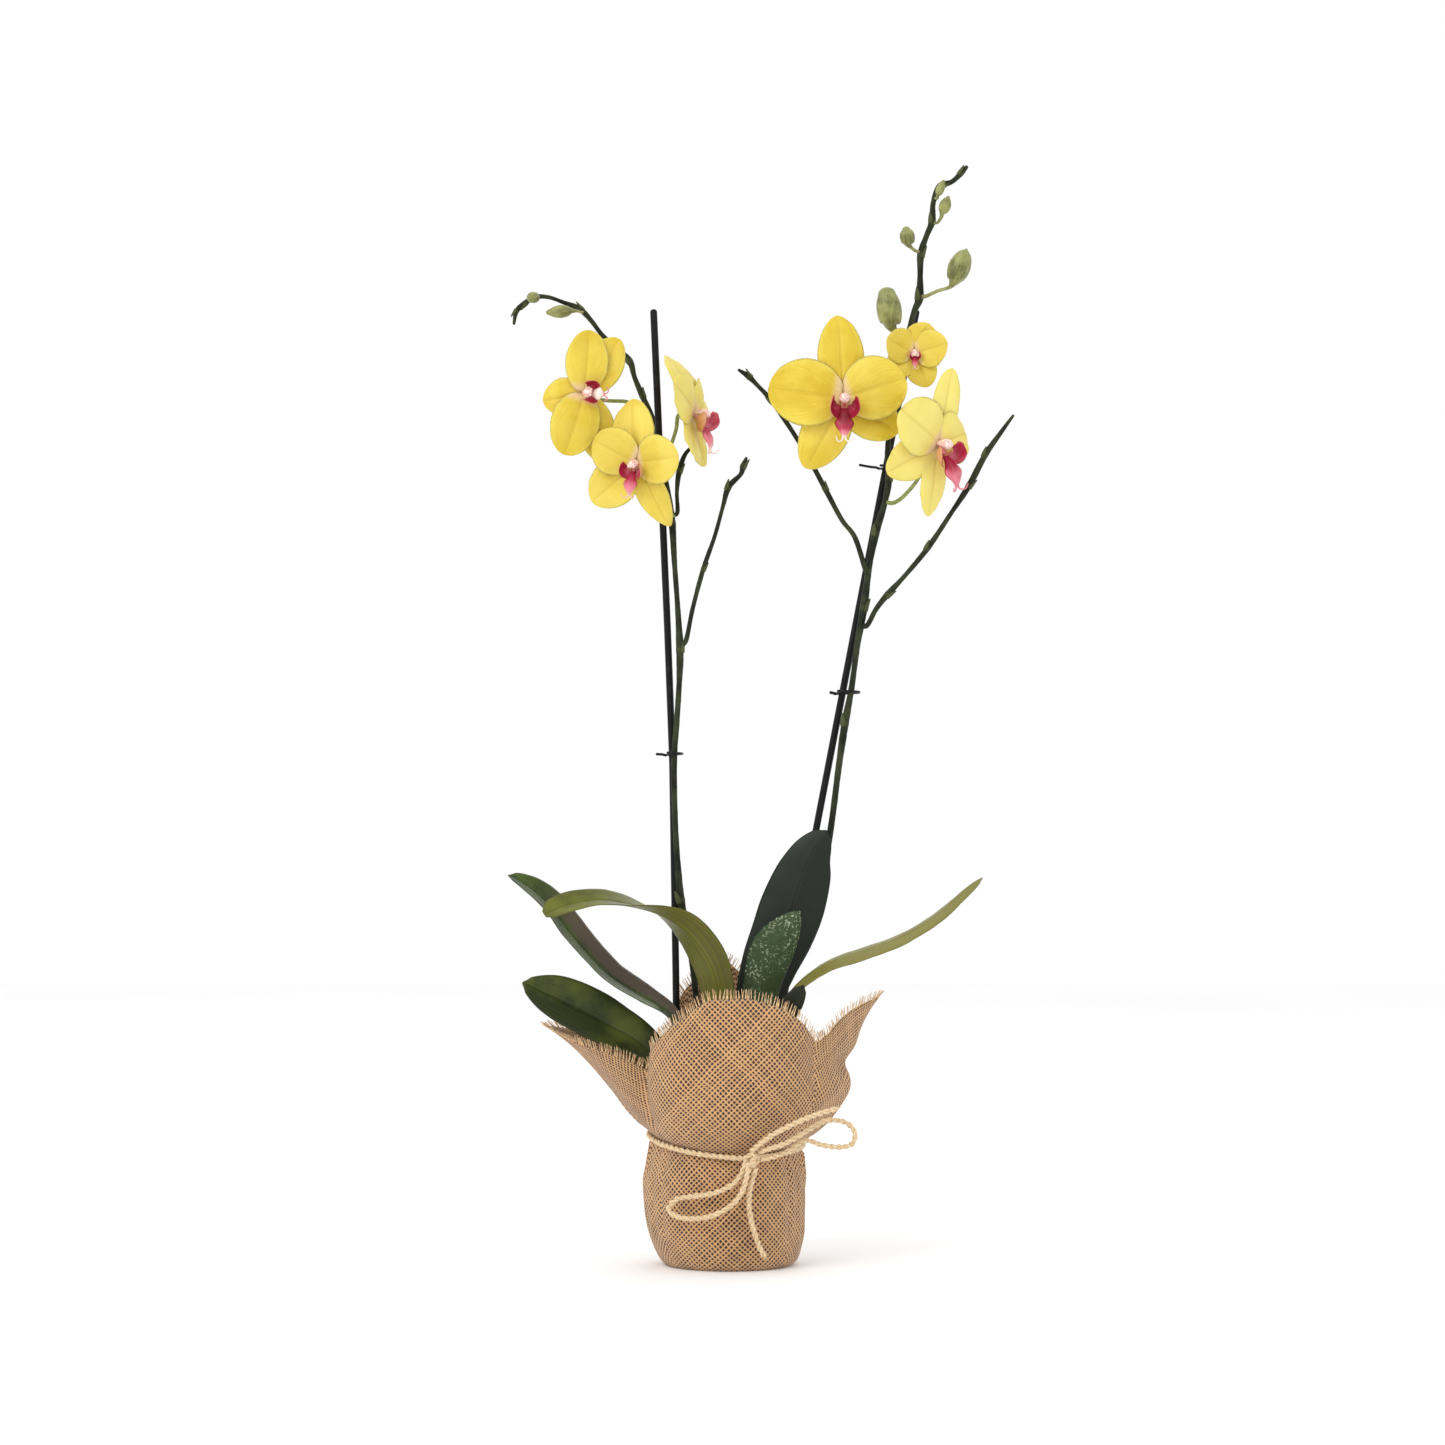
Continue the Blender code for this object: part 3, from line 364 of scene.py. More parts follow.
def burlap_look(name):
    """Plain jute weave on the bias; the UV map is in millimetres along and up the cloth."""
    look = Look(name, rough=0.92, sheen_weight=0.25, sheen_roughness=0.6)
    u, v = look.uv()
    slide = (look.streaks(u, v, 2.0, scale=0.035) - 0.5) * 6.0
    scale = 1.0 / (math.sqrt(2) * WEAVE_PITCH)
    a = (u + slide + v) * scale
    b = (u - slide - v) * scale
    cell_a, cell_b = look.math("FLOOR", a), look.math("FLOOR", b)
    ridge_a = ridge(look, a, look.random(cell_a, 3.0).spread(0.88, 1.10))
    ridge_b = ridge(look, b, look.random(cell_b, 7.0).spread(0.88, 1.10))
    over = look.math("PINGPONG", cell_a + cell_b, 1.0).spread(-1.0, 1.0)
    high_a = ridge_a + rise(look, b, over)
    high_b = ridge_b - rise(look, a, over)
    height = look.math("MAXIMUM", high_a, high_b)
    cloth = look.math("MAXIMUM", ridge_a, ridge_b).between(OPEN_WEAVE, OPEN_WEAVE + 0.22)
    on_a = look.math("GREATER_THAN", high_a, high_b)
    tint = on_a * look.random(cell_a, 11.0) + (1.0 - on_a) * look.random(cell_b, 19.0)
    fibre = look.streaks(a * 9.0, b * 9.0, 3.0)
    pale = look.mix(fibre.between(0.30, 0.72), srgb(194, 136, 80), srgb(244, 200, 142))
    tan = look.mix(tint * 0.45, pale, srgb(200, 152, 100))
    warm = look.mix(look.clouds(26.0).between(0.45, 0.72) * 0.25, tan, srgb(176, 124, 82))
    # painted shade: darker where one thread dips under the other, and dark brown in the weave's holes for
    # the shade behind the cloth
    shaded = look.mix(height.between(0.2, 1.0), look.mix(0.45, warm, srgb(120, 74, 42)), warm)
    look.color(look.mix(cloth, srgb(54, 28, 13), shaded))
    look.bump(height * cloth, 0.0008, 0.8)
    return look.material


def fibre_look(name, pale, dark):
    """Jute fibre: the UV map runs round the strand and along it in millimetres."""
    look = Look(name, rough=0.88, sheen_weight=0.3, sheen_roughness=0.5)
    u, v = look.uv()
    grain = look.streaks(u * 9.0, v * 0.35, 4.0, scale=1.6)
    mixed = look.mix(grain.between(0.36, 0.66), dark, pale)
    look.color(look.mix(look.clouds(90.0, 2.0).between(0.45, 0.75) * 0.35, mixed, dark))
    look.bump(grain, 0.0004, 0.7)
    return look.material


def leaf_look(name, dark, light, under, brown, sheen_side=0.0, dust=0.0, rough=0.36):
    """A waxy leaf: UV is (along, across from -1 to 1); `under` marks its lower face."""
    look = Look(name, rough=rough, specular_ior_level=0.28)
    u, v = look.uv()
    lane = abs(v)
    veins = look.streaks(u * 3.0, v * 26.0, 4.0, 0.6)
    cloud = look.clouds(34.0, 4.0)
    base = look.mix(cloud.between(0.35, 0.68), dark, light)
    base = look.mix(veins.between(0.42, 0.66) * 0.28, base, light)
    base = look.mix(lane.between(0.86, 1.0) * 0.45, base, brown)
    # painted sheen: one half of the folded blade is mixed toward brown-grey for the light's sheen on it,
    # fading out near the tip
    if sheen_side:
        half = (v * sheen_side).between(0.02, 0.35) * (1.0 - u.between(0.78, 0.92))
        base = look.mix(half * 0.85, base, brown)
    rib = 1.0 - lane.between(0.015, 0.06)
    base = look.mix(rib * 0.55, base, dark)
    low = look.mix(veins.between(0.40, 0.64), under, light)
    shown = look.mix(look.attribute("under"), base, low)
    if dust:
        specks = look.clouds(620.0, 2.0, 0.7).between(0.55, 0.62)
        spread = look.clouds(70.0, 2.0).between(0.36, 0.56)
        shown = look.mix(specks * spread * dust, shown, srgb(158, 172, 140))
    look.color(shown)
    look.rough(cloud.between(0.3, 0.7).spread(rough - 0.06, rough + 0.12))
    look.bump(veins * 0.4 + rib * -0.8, 0.0006, 0.5)
    return look.material


def stem_look(name, dark, light, rough=0.42):
    """A green stem with fine lengthwise streaks; `tone` marks its paler nodes and bracts."""
    look = Look(name, rough=rough, specular_ior_level=0.16)
    u, v = look.uv()
    grain = look.streaks(u * 14.0, v * 0.10, 4.0)
    cloud = look.clouds(55.0)
    base = look.mix(cloud.between(0.34, 0.70), dark, light)
    base = look.mix(grain.between(0.45, 0.7) * 0.5, base, light)
    look.color(look.mix(look.attribute("tone"), base, srgb(92, 98, 58)))
    look.bump(grain + cloud * 0.5, 0.0004, 0.5)
    return look.material


def petal_look(name):
    """Yellow tepals, pale pink at the throat, with fine veins; UV is (base to tip, across)."""
    look = Look(name, rough=0.58, sheen_weight=0.12, sheen_roughness=0.4, subsurface_weight=0.12,
                subsurface_scale=0.002, specular_ior_level=0.35)
    look.shader.inputs["Subsurface Radius"].default_value = (1.0, 0.7, 0.2)
    u, v = look.uv()
    lane = abs(v)
    veins = look.streaks(v / (u + 0.35) * 16.0, u * 1.6, 4.0, 0.6)
    base = look.mix(look.clouds(42.0).between(0.32, 0.70), srgb(206, 178, 38), srgb(222, 196, 66))
    base = look.mix(veins.between(0.46, 0.68) * 0.30, base, srgb(184, 150, 30))
    base = look.mix(look.attribute("tone"), base, srgb(234, 220, 126))
    # painted sheen: paler yellow towards the tepal's edges
    base = look.mix(lane.between(0.72, 1.0) * 0.45, base, srgb(226, 208, 96))
    crease = 1.0 - lane.between(0.0, 0.10)
    base = look.mix(crease * 0.18, base, srgb(176, 142, 30))
    base = look.mix(look.attribute("under") * 0.25, base, srgb(190, 180, 60))
    throat = 1.0 - (u + veins * 0.10).between(0.10, 0.22)
    base = look.mix(throat * 0.6, base, srgb(232, 208, 178))
    flush = veins.between(0.50, 0.62) * throat
    look.color(look.mix(flush * 0.55, base, srgb(196, 96, 96)))
    look.rough(veins.between(0.3, 0.7).spread(0.50, 0.66))
    look.bump(veins + crease * -0.6, 0.0005, 0.45)
    return look.material


def lip_look(name):
    """Lip tissue: `tone` runs from white at 0 through pink to crimson at 1; `under` is the callus."""
    look = Look(name, rough=0.42, subsurface_weight=0.10, subsurface_scale=0.002, specular_ior_level=0.5)
    u, v = look.uv()
    veins = look.streaks(u * 3.0, v * 9.0, 4.0)
    mixed = look.attribute("tone") + (veins - 0.5) * 0.55
    pink = look.mix(mixed.between(0.10, 0.42), srgb(246, 228, 216), srgb(224, 128, 142))
    deep = look.mix(mixed.between(0.42, 0.78), pink, srgb(172, 26, 62))
    dark = look.mix(mixed.between(0.82, 1.10), deep, srgb(112, 12, 26))
    gold = look.mix(look.attribute("under"), dark, srgb(204, 148, 98))
    spots = look.clouds(380.0, 2.0).between(0.55, 0.72) * 0.25
    look.color(look.mix(spots, gold, srgb(120, 14, 36)))
    look.bump(veins, 0.0004, 0.4)
    return look.material


def stalk_look(name):
    """Flower stalk running from green (tone 0) into the pale pink column (tone 1)."""
    look = Look(name, rough=0.45, subsurface_weight=0.08, subsurface_scale=0.002)
    u, v = look.uv()
    grain = look.streaks(u * 10.0, v * 0.3, 3.0)
    green = look.mix(grain.between(0.35, 0.65), srgb(96, 112, 48), srgb(150, 158, 80))
    pale = look.mix(grain.between(0.40, 0.70), srgb(248, 226, 212), srgb(226, 150, 158))
    look.color(look.mix(look.attribute("tone").between(0.35, 0.75), green, pale))
    look.bump(grain, 0.0003, 0.4)
    return look.material


def bud_look(name, dark, light):
    """A ribbed bud: the UV map runs round it and along it."""
    look = Look(name, rough=0.5, sheen_weight=0.15, subsurface_weight=0.06, subsurface_scale=0.002)
    u, v = look.uv()
    ribs = look.streaks(u * 26.0, v * 0.12, 3.0)
    base = look.mix(look.clouds(120.0).between(0.35, 0.7), dark, light)
    base = look.mix(ribs.between(0.45, 0.65) * 0.6, base, light)
    look.color(look.mix(look.attribute("tone"), base, srgb(150, 156, 92)))
    look.bump(ribs, 0.0006, 0.5)
    return look.material


def plastic_look(name, color, rough):
    """Scuffed black plastic."""
    look = Look(name, rough=rough, specular_ior_level=0.18)
    scuff = look.clouds(160.0, 4.0, 0.7)
    scuffed = tuple(c * 1.9 + 0.004 for c in color)
    look.color(look.mix(scuff.between(0.5, 0.75), color, scuffed))
    look.rough(scuff.spread(rough - 0.06, rough + 0.14))
    look.bump(look.clouds(1400.0, 2.0), 0.0001, 0.35)
    return look.material


def bark_look(name):
    """Rough brown bark."""
    look = Look(name, rough=0.95)
    cloud = look.clouds(95.0, 5.0, 0.7)
    grain = look.clouds(420.0, 4.0, 0.7)
    base = look.mix(cloud.between(0.34, 0.66), srgb(62, 38, 24), srgb(138, 92, 58))
    look.color(look.mix(grain.between(0.5, 0.7) * 0.5, base, srgb(40, 24, 16)))
    look.bump(cloud + grain * 0.5, 0.0012, 0.8)
    return look.material


BURLAP = burlap_look("burlap_weave")
FRINGE = fibre_look("burlap_fray", srgb(244, 212, 164), srgb(200, 154, 104))
TWINE = fibre_look("jute_ply", srgb(242, 222, 184), srgb(204, 170, 126))
PETAL = petal_look("petal_yellow")
LIP = lip_look("lip_crimson")
STALK = stalk_look("stalk_and_column")
SPIKE = stem_look("spike_green", srgb(18, 21, 13), srgb(54, 60, 36), rough=0.5)
CROWN = stem_look("crown_green", srgb(40, 56, 20), srgb(84, 104, 44))
BUD = bud_look("bud_green", srgb(90, 92, 36), srgb(152, 152, 88))
STAKE = plastic_look("stake_black", srgb(14, 14, 15), 0.34)
POT = plastic_look("pot_black", srgb(26, 26, 27), 0.48)
BARK = bark_look("bark_brown")
ROOT = stem_look("aerial_root", srgb(120, 124, 98), srgb(176, 176, 146), rough=0.7)


# ---------------------------------------------------------------- CAD nodes that stay
def dress(node, material):
    """A CAD node whose shape is right gets its finer material."""
    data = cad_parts[node].data
    data.materials.clear()
    data.materials.append(material)


for node, material in (("nursery_pot", POT), ("bark_mix", BARK), ("root_crown", CROWN)):
    dress(node, material)


# ---------------------------------------------------------------- stakes and clips
STAKE_R = 2.2
STAKES = {
    "stake_left": [(-29.2, 7.0, 15), (-31.2, 7.0, 180), (-33.2, 6.8, 310), (-36.4, 6.6, 395),
                   (-41.5, 6.4, 511), (-45.0, 6.26, 591)],
    "stake_right": [(6.5, 24.2, 15), (36.0, 20.0, 164), (66.6, 15.6, 323), (97.6, 11.2, 484),
                    (118.2, 8.28, 591)],
}
for name, route in STAKES.items():
    rod = Mesh()
    path = resample(np.array(route, float), 6.0)
    rod.tube(path, STAKE_R, sides=24)
    rod.make(name + "_rod", STAKE, "stake_plastic", [name])


def clip(name, centre, half_x, half_y, wire, pin):
    """A wire ring round stake and stem with a straight pin end, one bent wire."""
    a = np.radians(200 - 336 * np.linspace(0, 1, 57))
    ring = np.stack([centre[0] + half_x * np.cos(a), centre[1] + half_y * np.sin(a),
                     centre[2] + 1.7 * np.linspace(0, 1, 57)], 1)
    path = resample(np.vstack([spline(pin, 6), ring]), 0.6)
    wire_mesh = Mesh()
    wire_mesh.tube(path, wire, sides=10)
    wire_mesh.make(name + "_wire", STAKE, "stake_plastic", [name])


clip("clip_left", (-32.4, 3.6, 315.4), 5.2, 7.6, 0.85, [(-43.0, 0.5, 316.2), (-39.5, 1.2, 316)])
clip("clip_right_low", (75.2, 11.2, 353.6), 7.6, 9.0, 1.0, [(65.0, 4.5, 354.4), (66.4, 6.6, 354.2)])
clip("clip_right_high", (99.4, 7.4, 493.6), 4.9, 8.0, 0.8,
     [(83.0, 2.0, 495.6), (89.0, 3.6, 494.6), (93.2, 4.4, 494.2)])


# ---------------------------------------------------------------- flower spikes
def blade_rings(path, half, across, up, thick, lanes, fold=0.0, ripple=None):
    """Closed cross-sections of a thin blade: across its upper face and back under its lower one."""
    v = np.linspace(-1, 1, lanes)
    lift = fold * half[:, None] * np.abs(v)[None, :] ** 1.3
    mid = path[:, None, :] + across[:, None, :] * (half[:, None] * v)[..., None]
    mid = mid + up[:, None, :] * lift[..., None]
    if ripple is not None:
        mid = mid + up[:, None, :] * ripple[..., None]
    body = thick * np.sqrt(np.maximum(1 - v ** 2, 0.0))[None, :] * np.ones(len(path))[:, None]
    body = body * np.minimum(1.0, half / (0.25 * half.max()))[:, None]
    along = np.gradient(mid, axis=0)
    over = np.gradient(mid, axis=1)
    normal = unit(np.cross(along, over))
    facing = np.sign(np.sum(normal * up[:, None, :], axis=-1, keepdims=True))
    normal = normal * np.where(facing == 0, 1, facing)
    top = mid + normal * (body / 2)[..., None]
    low = mid - normal * (body / 2)[..., None]
    rings = np.concatenate([top, low[:, -2:0:-1]], axis=1)
    lane = np.concatenate([v, v[-2:0:-1], v[:1]])
    under = np.concatenate([np.zeros(lanes), np.ones(lanes - 2)])
    return rings, lane, under


def add_blade(mesh, path, half, across, up, thick, lanes=13, fold=0.0, ripple=None, tone=0.0):
    """Puts one thin blade into a mesh; UV is (0 to 1 along, -1 to 1 across)."""
    rings, lane, under = blade_rings(path, half, across, up, thick, lanes, fold, ripple)
    s = arc_length(path)
    u = s / s[-1]
    uv = np.stack(np.broadcast_arrays(u[:, None], lane[None, :]), -1)
    tone = np.asarray(tone, float)
    if tone.ndim == 2:
        tone = np.concatenate([tone, tone[:, -2:0:-1]], axis=1)
    elif tone.ndim == 1:
        tone = tone[:, None]
    mesh.add(rings, uv, tone=tone, under=under[None, :])


def bract(mesh, at, along, side, radius, length):
    """A small pointed scale that clasps the stem at a node."""
    f = np.linspace(0, 1, 9)
    out = side * radius
    path = at + along * (length * (f - 0.25))[:, None] + out * (1.06 + 0.34 * f ** 2)[:, None]
    half = radius * 1.15 * np.sin(math.pi * (0.25 + 0.74 * f)) ** 0.9 + 0.05
    across = np.tile(unit(np.cross(along, side)), (9, 1))
    wrap = -0.55 * np.linspace(-1, 1, 7) ** 2 * radius * (1 - 0.6 * f)[:, None]
    add_blade(mesh, path, half, across, np.tile(side, (9, 1)), 0.45, lanes=7, ripple=wrap, tone=0.55)


CROWN_LOW, CROWN_HIGH = (vec(*corner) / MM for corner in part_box("root_crown"))
CROWN_DEPTH = 8.0           # how far below the crown's top a leaf or spike grows out of it


def from_crown(row, width):
    """The row inside the crown that a leaf or spike starting at this row grows from."""
    middle = 0.5 * (CROWN_LOW + CROWN_HIGH)
    height = min(CROWN_HIGH[2], row[2]) - CROWN_DEPTH
    return (middle[0] + 0.2 * (row[0] - middle[0]), middle[1] + 0.2 * (row[1] - middle[1]), height, width)


STEM_LINES = []             # the middle line of every stem made so far


def rooted(row, width):
    """The point in the nearest stem's middle that a stalk starting at this row grows from."""
    points = np.vstack(STEM_LINES)
    nearest = points[int(np.argmin(np.linalg.norm(points - vec(*row[:3]), axis=1)))]
    return (*nearest, width)


NODE_STEP = 0.12            # how much thicker than its neighbours a route's point is at a node
NODE_SWELL = 0.16
NODE_TONE = 0.35


def stem(name, route, sides=14):
    """A jointed green stem; the route's thicker points are its nodes, each with a bract."""
    route = np.array(route, float)
    rows = resample(spline(route, 10), 1.3)
    path, radius = rows[:, :3], rows[:, 3].copy()
    s = arc_length(path)
    radius *= 1 + 0.05 * wobble(s, len(name), 0.35)
    tone = np.zeros(len(path))
    mesh = Mesh()
    direction = unit(np.gradient(path, axis=0))
    turn = 1
    for i in range(1, len(route) - 1):
        swell = route[i][3] - 0.5 * (route[i - 1][3] + route[i + 1][3])
        if swell < NODE_STEP:
            continue
        k = int(np.argmin(np.linalg.norm(path - route[i][:3], axis=1)))
        near = np.exp(-((s - s[k]) / 1.3) ** 2)
        tone = np.maximum(tone, NODE_TONE * near)
        radius += NODE_SWELL * near
        d = direction[k]
        side = unit(np.cross(d, vec(0.15, -1.0, 0.1)) * turn + vec(0, -0.5, 0))
        side = unit(side - d * side.dot(d))
        bract(mesh, path[k], d, side, radius[k], 2.6 * route[i][3] + 2.0)
        turn = -turn
    mesh.tube(path, radius, sides=sides, tone=tone)
    STEM_LINES.append(path)
    mesh.make(name + "_stem", SPIKE, "spike", [name])


LEFT_SPIKE = [
    (-11, 8, 93, 2.6), (-16, 10, 125, 2.2), (-18.5, 10, 163, 2.0), (-23, 8, 200, 1.9),
    (-28, 4.5, 225, 2.5), (-30.6, 3, 257, 1.8), (-32, 1.5, 289, 1.8), (-32, 1.0, 315, 1.8),
    (-30.5, 0.5, 337, 1.8), (-29, 0, 361, 1.8), (-28.6, 0, 381, 2.4), (-30, 0.5, 407, 1.7),
    (-32, 2, 435, 1.7), (-33.5, 5, 460, 2.2), (-36, 9.5, 479, 1.6), (-40, 13.5, 499, 1.6),
    (-45, 15, 523, 1.6), (-52, 15.5, 539, 1.9), (-57, 15, 551, 1.6), (-60, 14, 561, 2.0),
    (-68, 13, 569, 1.5), (-77, 12, 577, 1.5), (-84, 10, 586, 1.5), (-91, 9, 593, 1.9),
    (-101, 8, 597, 1.3), (-110, 6, 600, 1.3), (-118, 4, 600, 1.5), (-125, 3, 596, 1.7),
    (-130, 2, 591, 1.5), (-131.5, 0, 583, 0.9)]
RIGHT_SPIKE = [
    (10, 12, 93, 2.6), (19, 15.5, 127, 2.3), (30, 16, 161, 2.1), (43, 14.2, 193, 2.1),
    (53, 14.5, 217, 2.1), (61, 14, 245, 2.1), (66, 12.5, 275, 2.0), (70, 10.5, 307, 2.0),
    (74, 9, 335, 2.4), (78, 7.5, 357, 1.9), (81.5, 6, 383, 1.9), (85.5, 5, 407, 2.5),
    (89, 5, 433, 1.9), (93, 5, 453, 2.3), (98.5, 4.5, 472, 1.9), (101, 4, 487, 2.2),
    (100.5, 4, 507, 1.8), (103.5, 4, 528, 1.8), (109.5, 3.5, 548, 1.9), (112, 3, 571, 1.8),
    (116.5, 2, 590, 1.8), (120, 2, 599, 2.5), (120.5, 3, 613, 1.8), (121, 4, 627, 2.2),
    (124.5, 3.5, 638, 1.7), (128, 2.5, 647, 2.1), (128.5, 1.5, 658, 1.6), (132.5, 0, 668, 2.2),
    (140, -1, 671, 1.5), (145.5, -2, 676, 1.8), (149, -2.5, 680, 1.2)]
BRANCHES = {
    "left_branch_outer": [
        (-25.0, -2.2, 386, 1.5), (-20.5, -4, 407, 1.4), (-14, -6, 431, 1.5), (-7, -8, 451, 1.3),
        (-2, -10, 469, 1.3), (1.5, -11, 481, 1.9), (9, -12, 489, 1.4), (10.5, -12, 494, 1.9),
        (12.5, -13, 499, 0.9)],
    "left_branch_short": [
        (-30.2, 1.8, 466, 1.4), (-30.5, 2.5, 479, 1.3), (-29, 4, 492, 1.8), (-25, 5, 503, 1.3),
        (-18, 6, 509, 1.0)],
    "right_branch_left": [
        (86.5, 1.2, 431, 1.7), (80, 6.5, 451, 1.6), (72, 10, 462, 1.5), (62, 14, 481, 1.7),
        (53, 17, 498, 1.5), (43, 19, 515, 1.5), (29, 20.5, 536, 1.6), (20, 20.5, 546, 1.4),
        (14, 20.5, 552, 1.8), (8, 20.5, 556, 0.9)],
    "right_branch_right": [
        (87.5, 2.0, 396, 1.7), (93, 1, 406, 1.6), (100, -0.5, 415, 2.0), (111, -2.5, 427, 1.5),
        (125, -5, 444, 1.8), (139, -8, 465, 1.5), (150, -11, 482, 2.0), (160, -13, 501, 1.9),
        (169, -15, 514, 1.5), (177, -16, 525, 0.9)],
}
for name, route in (("left_spike", LEFT_SPIKE), ("right_spike", RIGHT_SPIKE)):
    stem(name, [from_crown(route[0], 2.4)] + route)
for name, route in BRANCHES.items():
    stem(name, [rooted(route[0], route[0][3])] + route, sides=12)


# ---------------------------------------------------------------- buds
POINTED_BUD = [(0.0, 0.42), (0.14, 0.78), (0.42, 1.0), (0.68, 0.88), (0.88, 0.58)]
BLUNT_BUD = [(0.0, 0.45), (0.14, 0.84), (0.42, 1.0), (0.68, 0.98), (0.88, 0.84)]


SEAMS = 3                   # where a bud's three closed sepals meet


def bud(name, stalk, base, tip, radius, point):
    """A bud on its stalk: an egg with the seams of its closed sepals."""
    b, t = vec(*base), vec(*tip)
    keys = BLUNT_BUD if point >= 0.5 else POINTED_BUD
    keys = list(keys) + [(1.0, point)]
    rows = list(stalk) + [(*(b + (t - b) * f), radius * w) for f, w in keys]
    rows = [rooted(rows[0], min(rows[0][3], 1.2))] + rows
    rows = resample(spline(rows, 10), 0.35)
    path, r = rows[:, :3], rows[:, 3]
    on_bud = np.array([smooth_step((p - b).dot(t - b) / (t - b).dot(t - b), -0.02, 0.12) for p in path])
    path, r = rounded_ends(path, r)
    on_bud = np.pad(on_bud, END_RINGS, constant_values=(on_bud[0], 1.0))
    sides = 36
    a = 2 * math.pi * np.arange(sides) / sides
    seam = -0.05 * np.exp(-(((a * SEAMS / (2 * math.pi)) % 1.0 - 0.5) / 0.07) ** 2)
    flute = 0.012 * np.cos(a * SEAMS * 4)
    shape = 1 + (seam + flute)[None, :] * on_bud[:, None]
    rings = rings_round(path, r[:, None] * shape, sides)
    s = arc_length(path)
    uv = np.stack(np.broadcast_arrays(np.arange(sides + 1)[None, :] / sides, s[:, None]), -1)
    mesh = Mesh()
    tipness = smooth_step(s, s[-1] - 0.28 * (s[-1] - s[0]), s[-1]) * 0.45
    mesh.add(rings, uv, tone=tipness[:, None])
    mesh.make(name + "_bud", BUD, "bud", [name])


BUDS = {
    # name: stalk, base, tip, radius, width at the tip
    "left_bud_1": ([(-89.5, 5.0, 590.5, 0.8), (-92.5, 3.4, 591.2, 0.9)], (-96, 2, 591.2),
                   (-110.5, 0, 590), 4.1, 0.35),
    "left_bud_2": ([], (-117, -1.2, 599.4), (-121.5, -8.0, 598.4), 3.5, 0.5),
    "right_bud_1": ([(110.5, -1.6, 573, 1.4), (106, -3.5, 576, 1.5)], (102.5, -4, 581),
                    (99.5, -4.5, 601), 7.6, 0.72),
    "right_bud_2": ([(123.6, -0.8, 600, 1.2), (131, -4, 603, 1.1), (138, -6.5, 605, 1.2)],
                    (140.5, -7.5, 608), (148.5, -10, 628), 7.0, 0.12),
    "right_bud_3": ([(117.6, 1.6, 628.4, 1.0), (114.6, 0.0, 630.5, 1.2)], (113.2, -1.0, 632),
                    (111.5, -3.5, 641), 4.6, 0.55),
    "right_bud_4": ([(130.8, -0.4, 645.6, 0.9), (133.2, -2.0, 648.6, 1.1)], (133.8, -2.6, 651),
                    (137.6, -4.0, 661), 3.7, 0.3),
    "right_bud_5": ([(130.8, -2.8, 660.4, 0.9)], (131.0, -4.2, 662), (134.6, -5.8, 671), 2.7, 0.3),
}
for name, (stalk, base, tip, radius, point) in BUDS.items():
    bud(name, stalk, base, tip, radius, point)


# ---------------------------------------------------------------- leaves
def cross_directions(path, keys):
    """The across direction at each point, from directions keyed by share of the length."""
    f = np.linspace(0, 1, len(path))
    where = [k for k, _ in keys]
    aim = np.stack([np.interp(f, where, [d[axis] for _, d in keys]) for axis in range(3)], 1)
    along = unit(np.gradient(path, axis=0))
    across = unit(aim - along * np.sum(aim * along, axis=1, keepdims=True))
    return across, np.cross(along, across)


LEAF_THICK = 1.6
LEAF_GROOVE = 0.35          # depth of the groove along the midrib


def leaf(name, mid, keys, fold, material, slot, seed, blunt=0.75):
    """A strap leaf: smooth outline, thick midrib with a groove, thin waved margins."""
    free = arc_length(spline(mid, 14)[:, :3])[-1]
    rows = resample(spline([from_crown(mid[0], 0.8 * mid[0][3])] + mid, 14), 1.9)
    path, half = rows[:, :3], np.maximum(rows[:, 3], 0.6)
    s = arc_length(path)
    sheath = s[-1] - free                      # the added length, down to the crown
    keys = [((sheath + share * free) / s[-1], way) for share, way in keys]
    across, up = cross_directions(path, keys)
    lanes = 25
    v = np.linspace(-1, 1, lanes)
    s = s - sheath
    ripple = 0.35 * np.abs(v)[None, :] ** 2 * wobble(s, seed, 0.09)[:, None] * np.sign(v)[None, :]
    ripple = ripple - LEAF_GROOVE * np.exp(-(v / 0.07) ** 2)[None, :] * np.minimum(1, half / 6)[:, None]
    end = smooth_step(s, s[-1] - 5.0, s[-1])
    half = half * (1 - blunt * end ** 2)
    mesh = Mesh()
    add_blade(mesh, path, half, across, up, LEAF_THICK, lanes, fold, ripple)
    mesh.make(name + "_blade", material, slot, [name])


DEEP_LEAF = leaf_look("leaf_deep", srgb(30, 38, 8), srgb(74, 82, 22), srgb(50, 54, 30), srgb(56, 56, 26))
SHADE_LEAF = leaf_look("leaf_shade", srgb(14, 18, 8), srgb(26, 34, 14), srgb(30, 34, 18), srgb(30, 32, 16))
# the brown-grey half of this leaf is a painted sheen
FOLDED_LEAF = leaf_look("leaf_folded", srgb(30, 44, 12), srgb(70, 88, 26), srgb(86, 76, 60),
                        srgb(84, 70, 58), sheen_side=-1.0, rough=0.22)
OLIVE_LEAF = leaf_look("leaf_olive_green", srgb(64, 70, 11), srgb(108, 112, 28), srgb(92, 86, 44),
                       srgb(70, 66, 30), rough=0.40)
DARK_LEAF = leaf_look("leaf_dark", srgb(15, 22, 15), srgb(21, 30, 20), srgb(22, 31, 21), srgb(36, 42, 28),
                      rough=0.45)
DUSTY_LEAF = leaf_look("leaf_dusty", srgb(30, 50, 28), srgb(52, 76, 46), srgb(56, 70, 40),
                       srgb(44, 60, 34), dust=0.9, rough=0.46)
PALE_LEAF = leaf_look("leaf_pale", srgb(92, 94, 30), srgb(132, 132, 54), srgb(120, 112, 56),
                      srgb(96, 80, 48), rough=0.42)

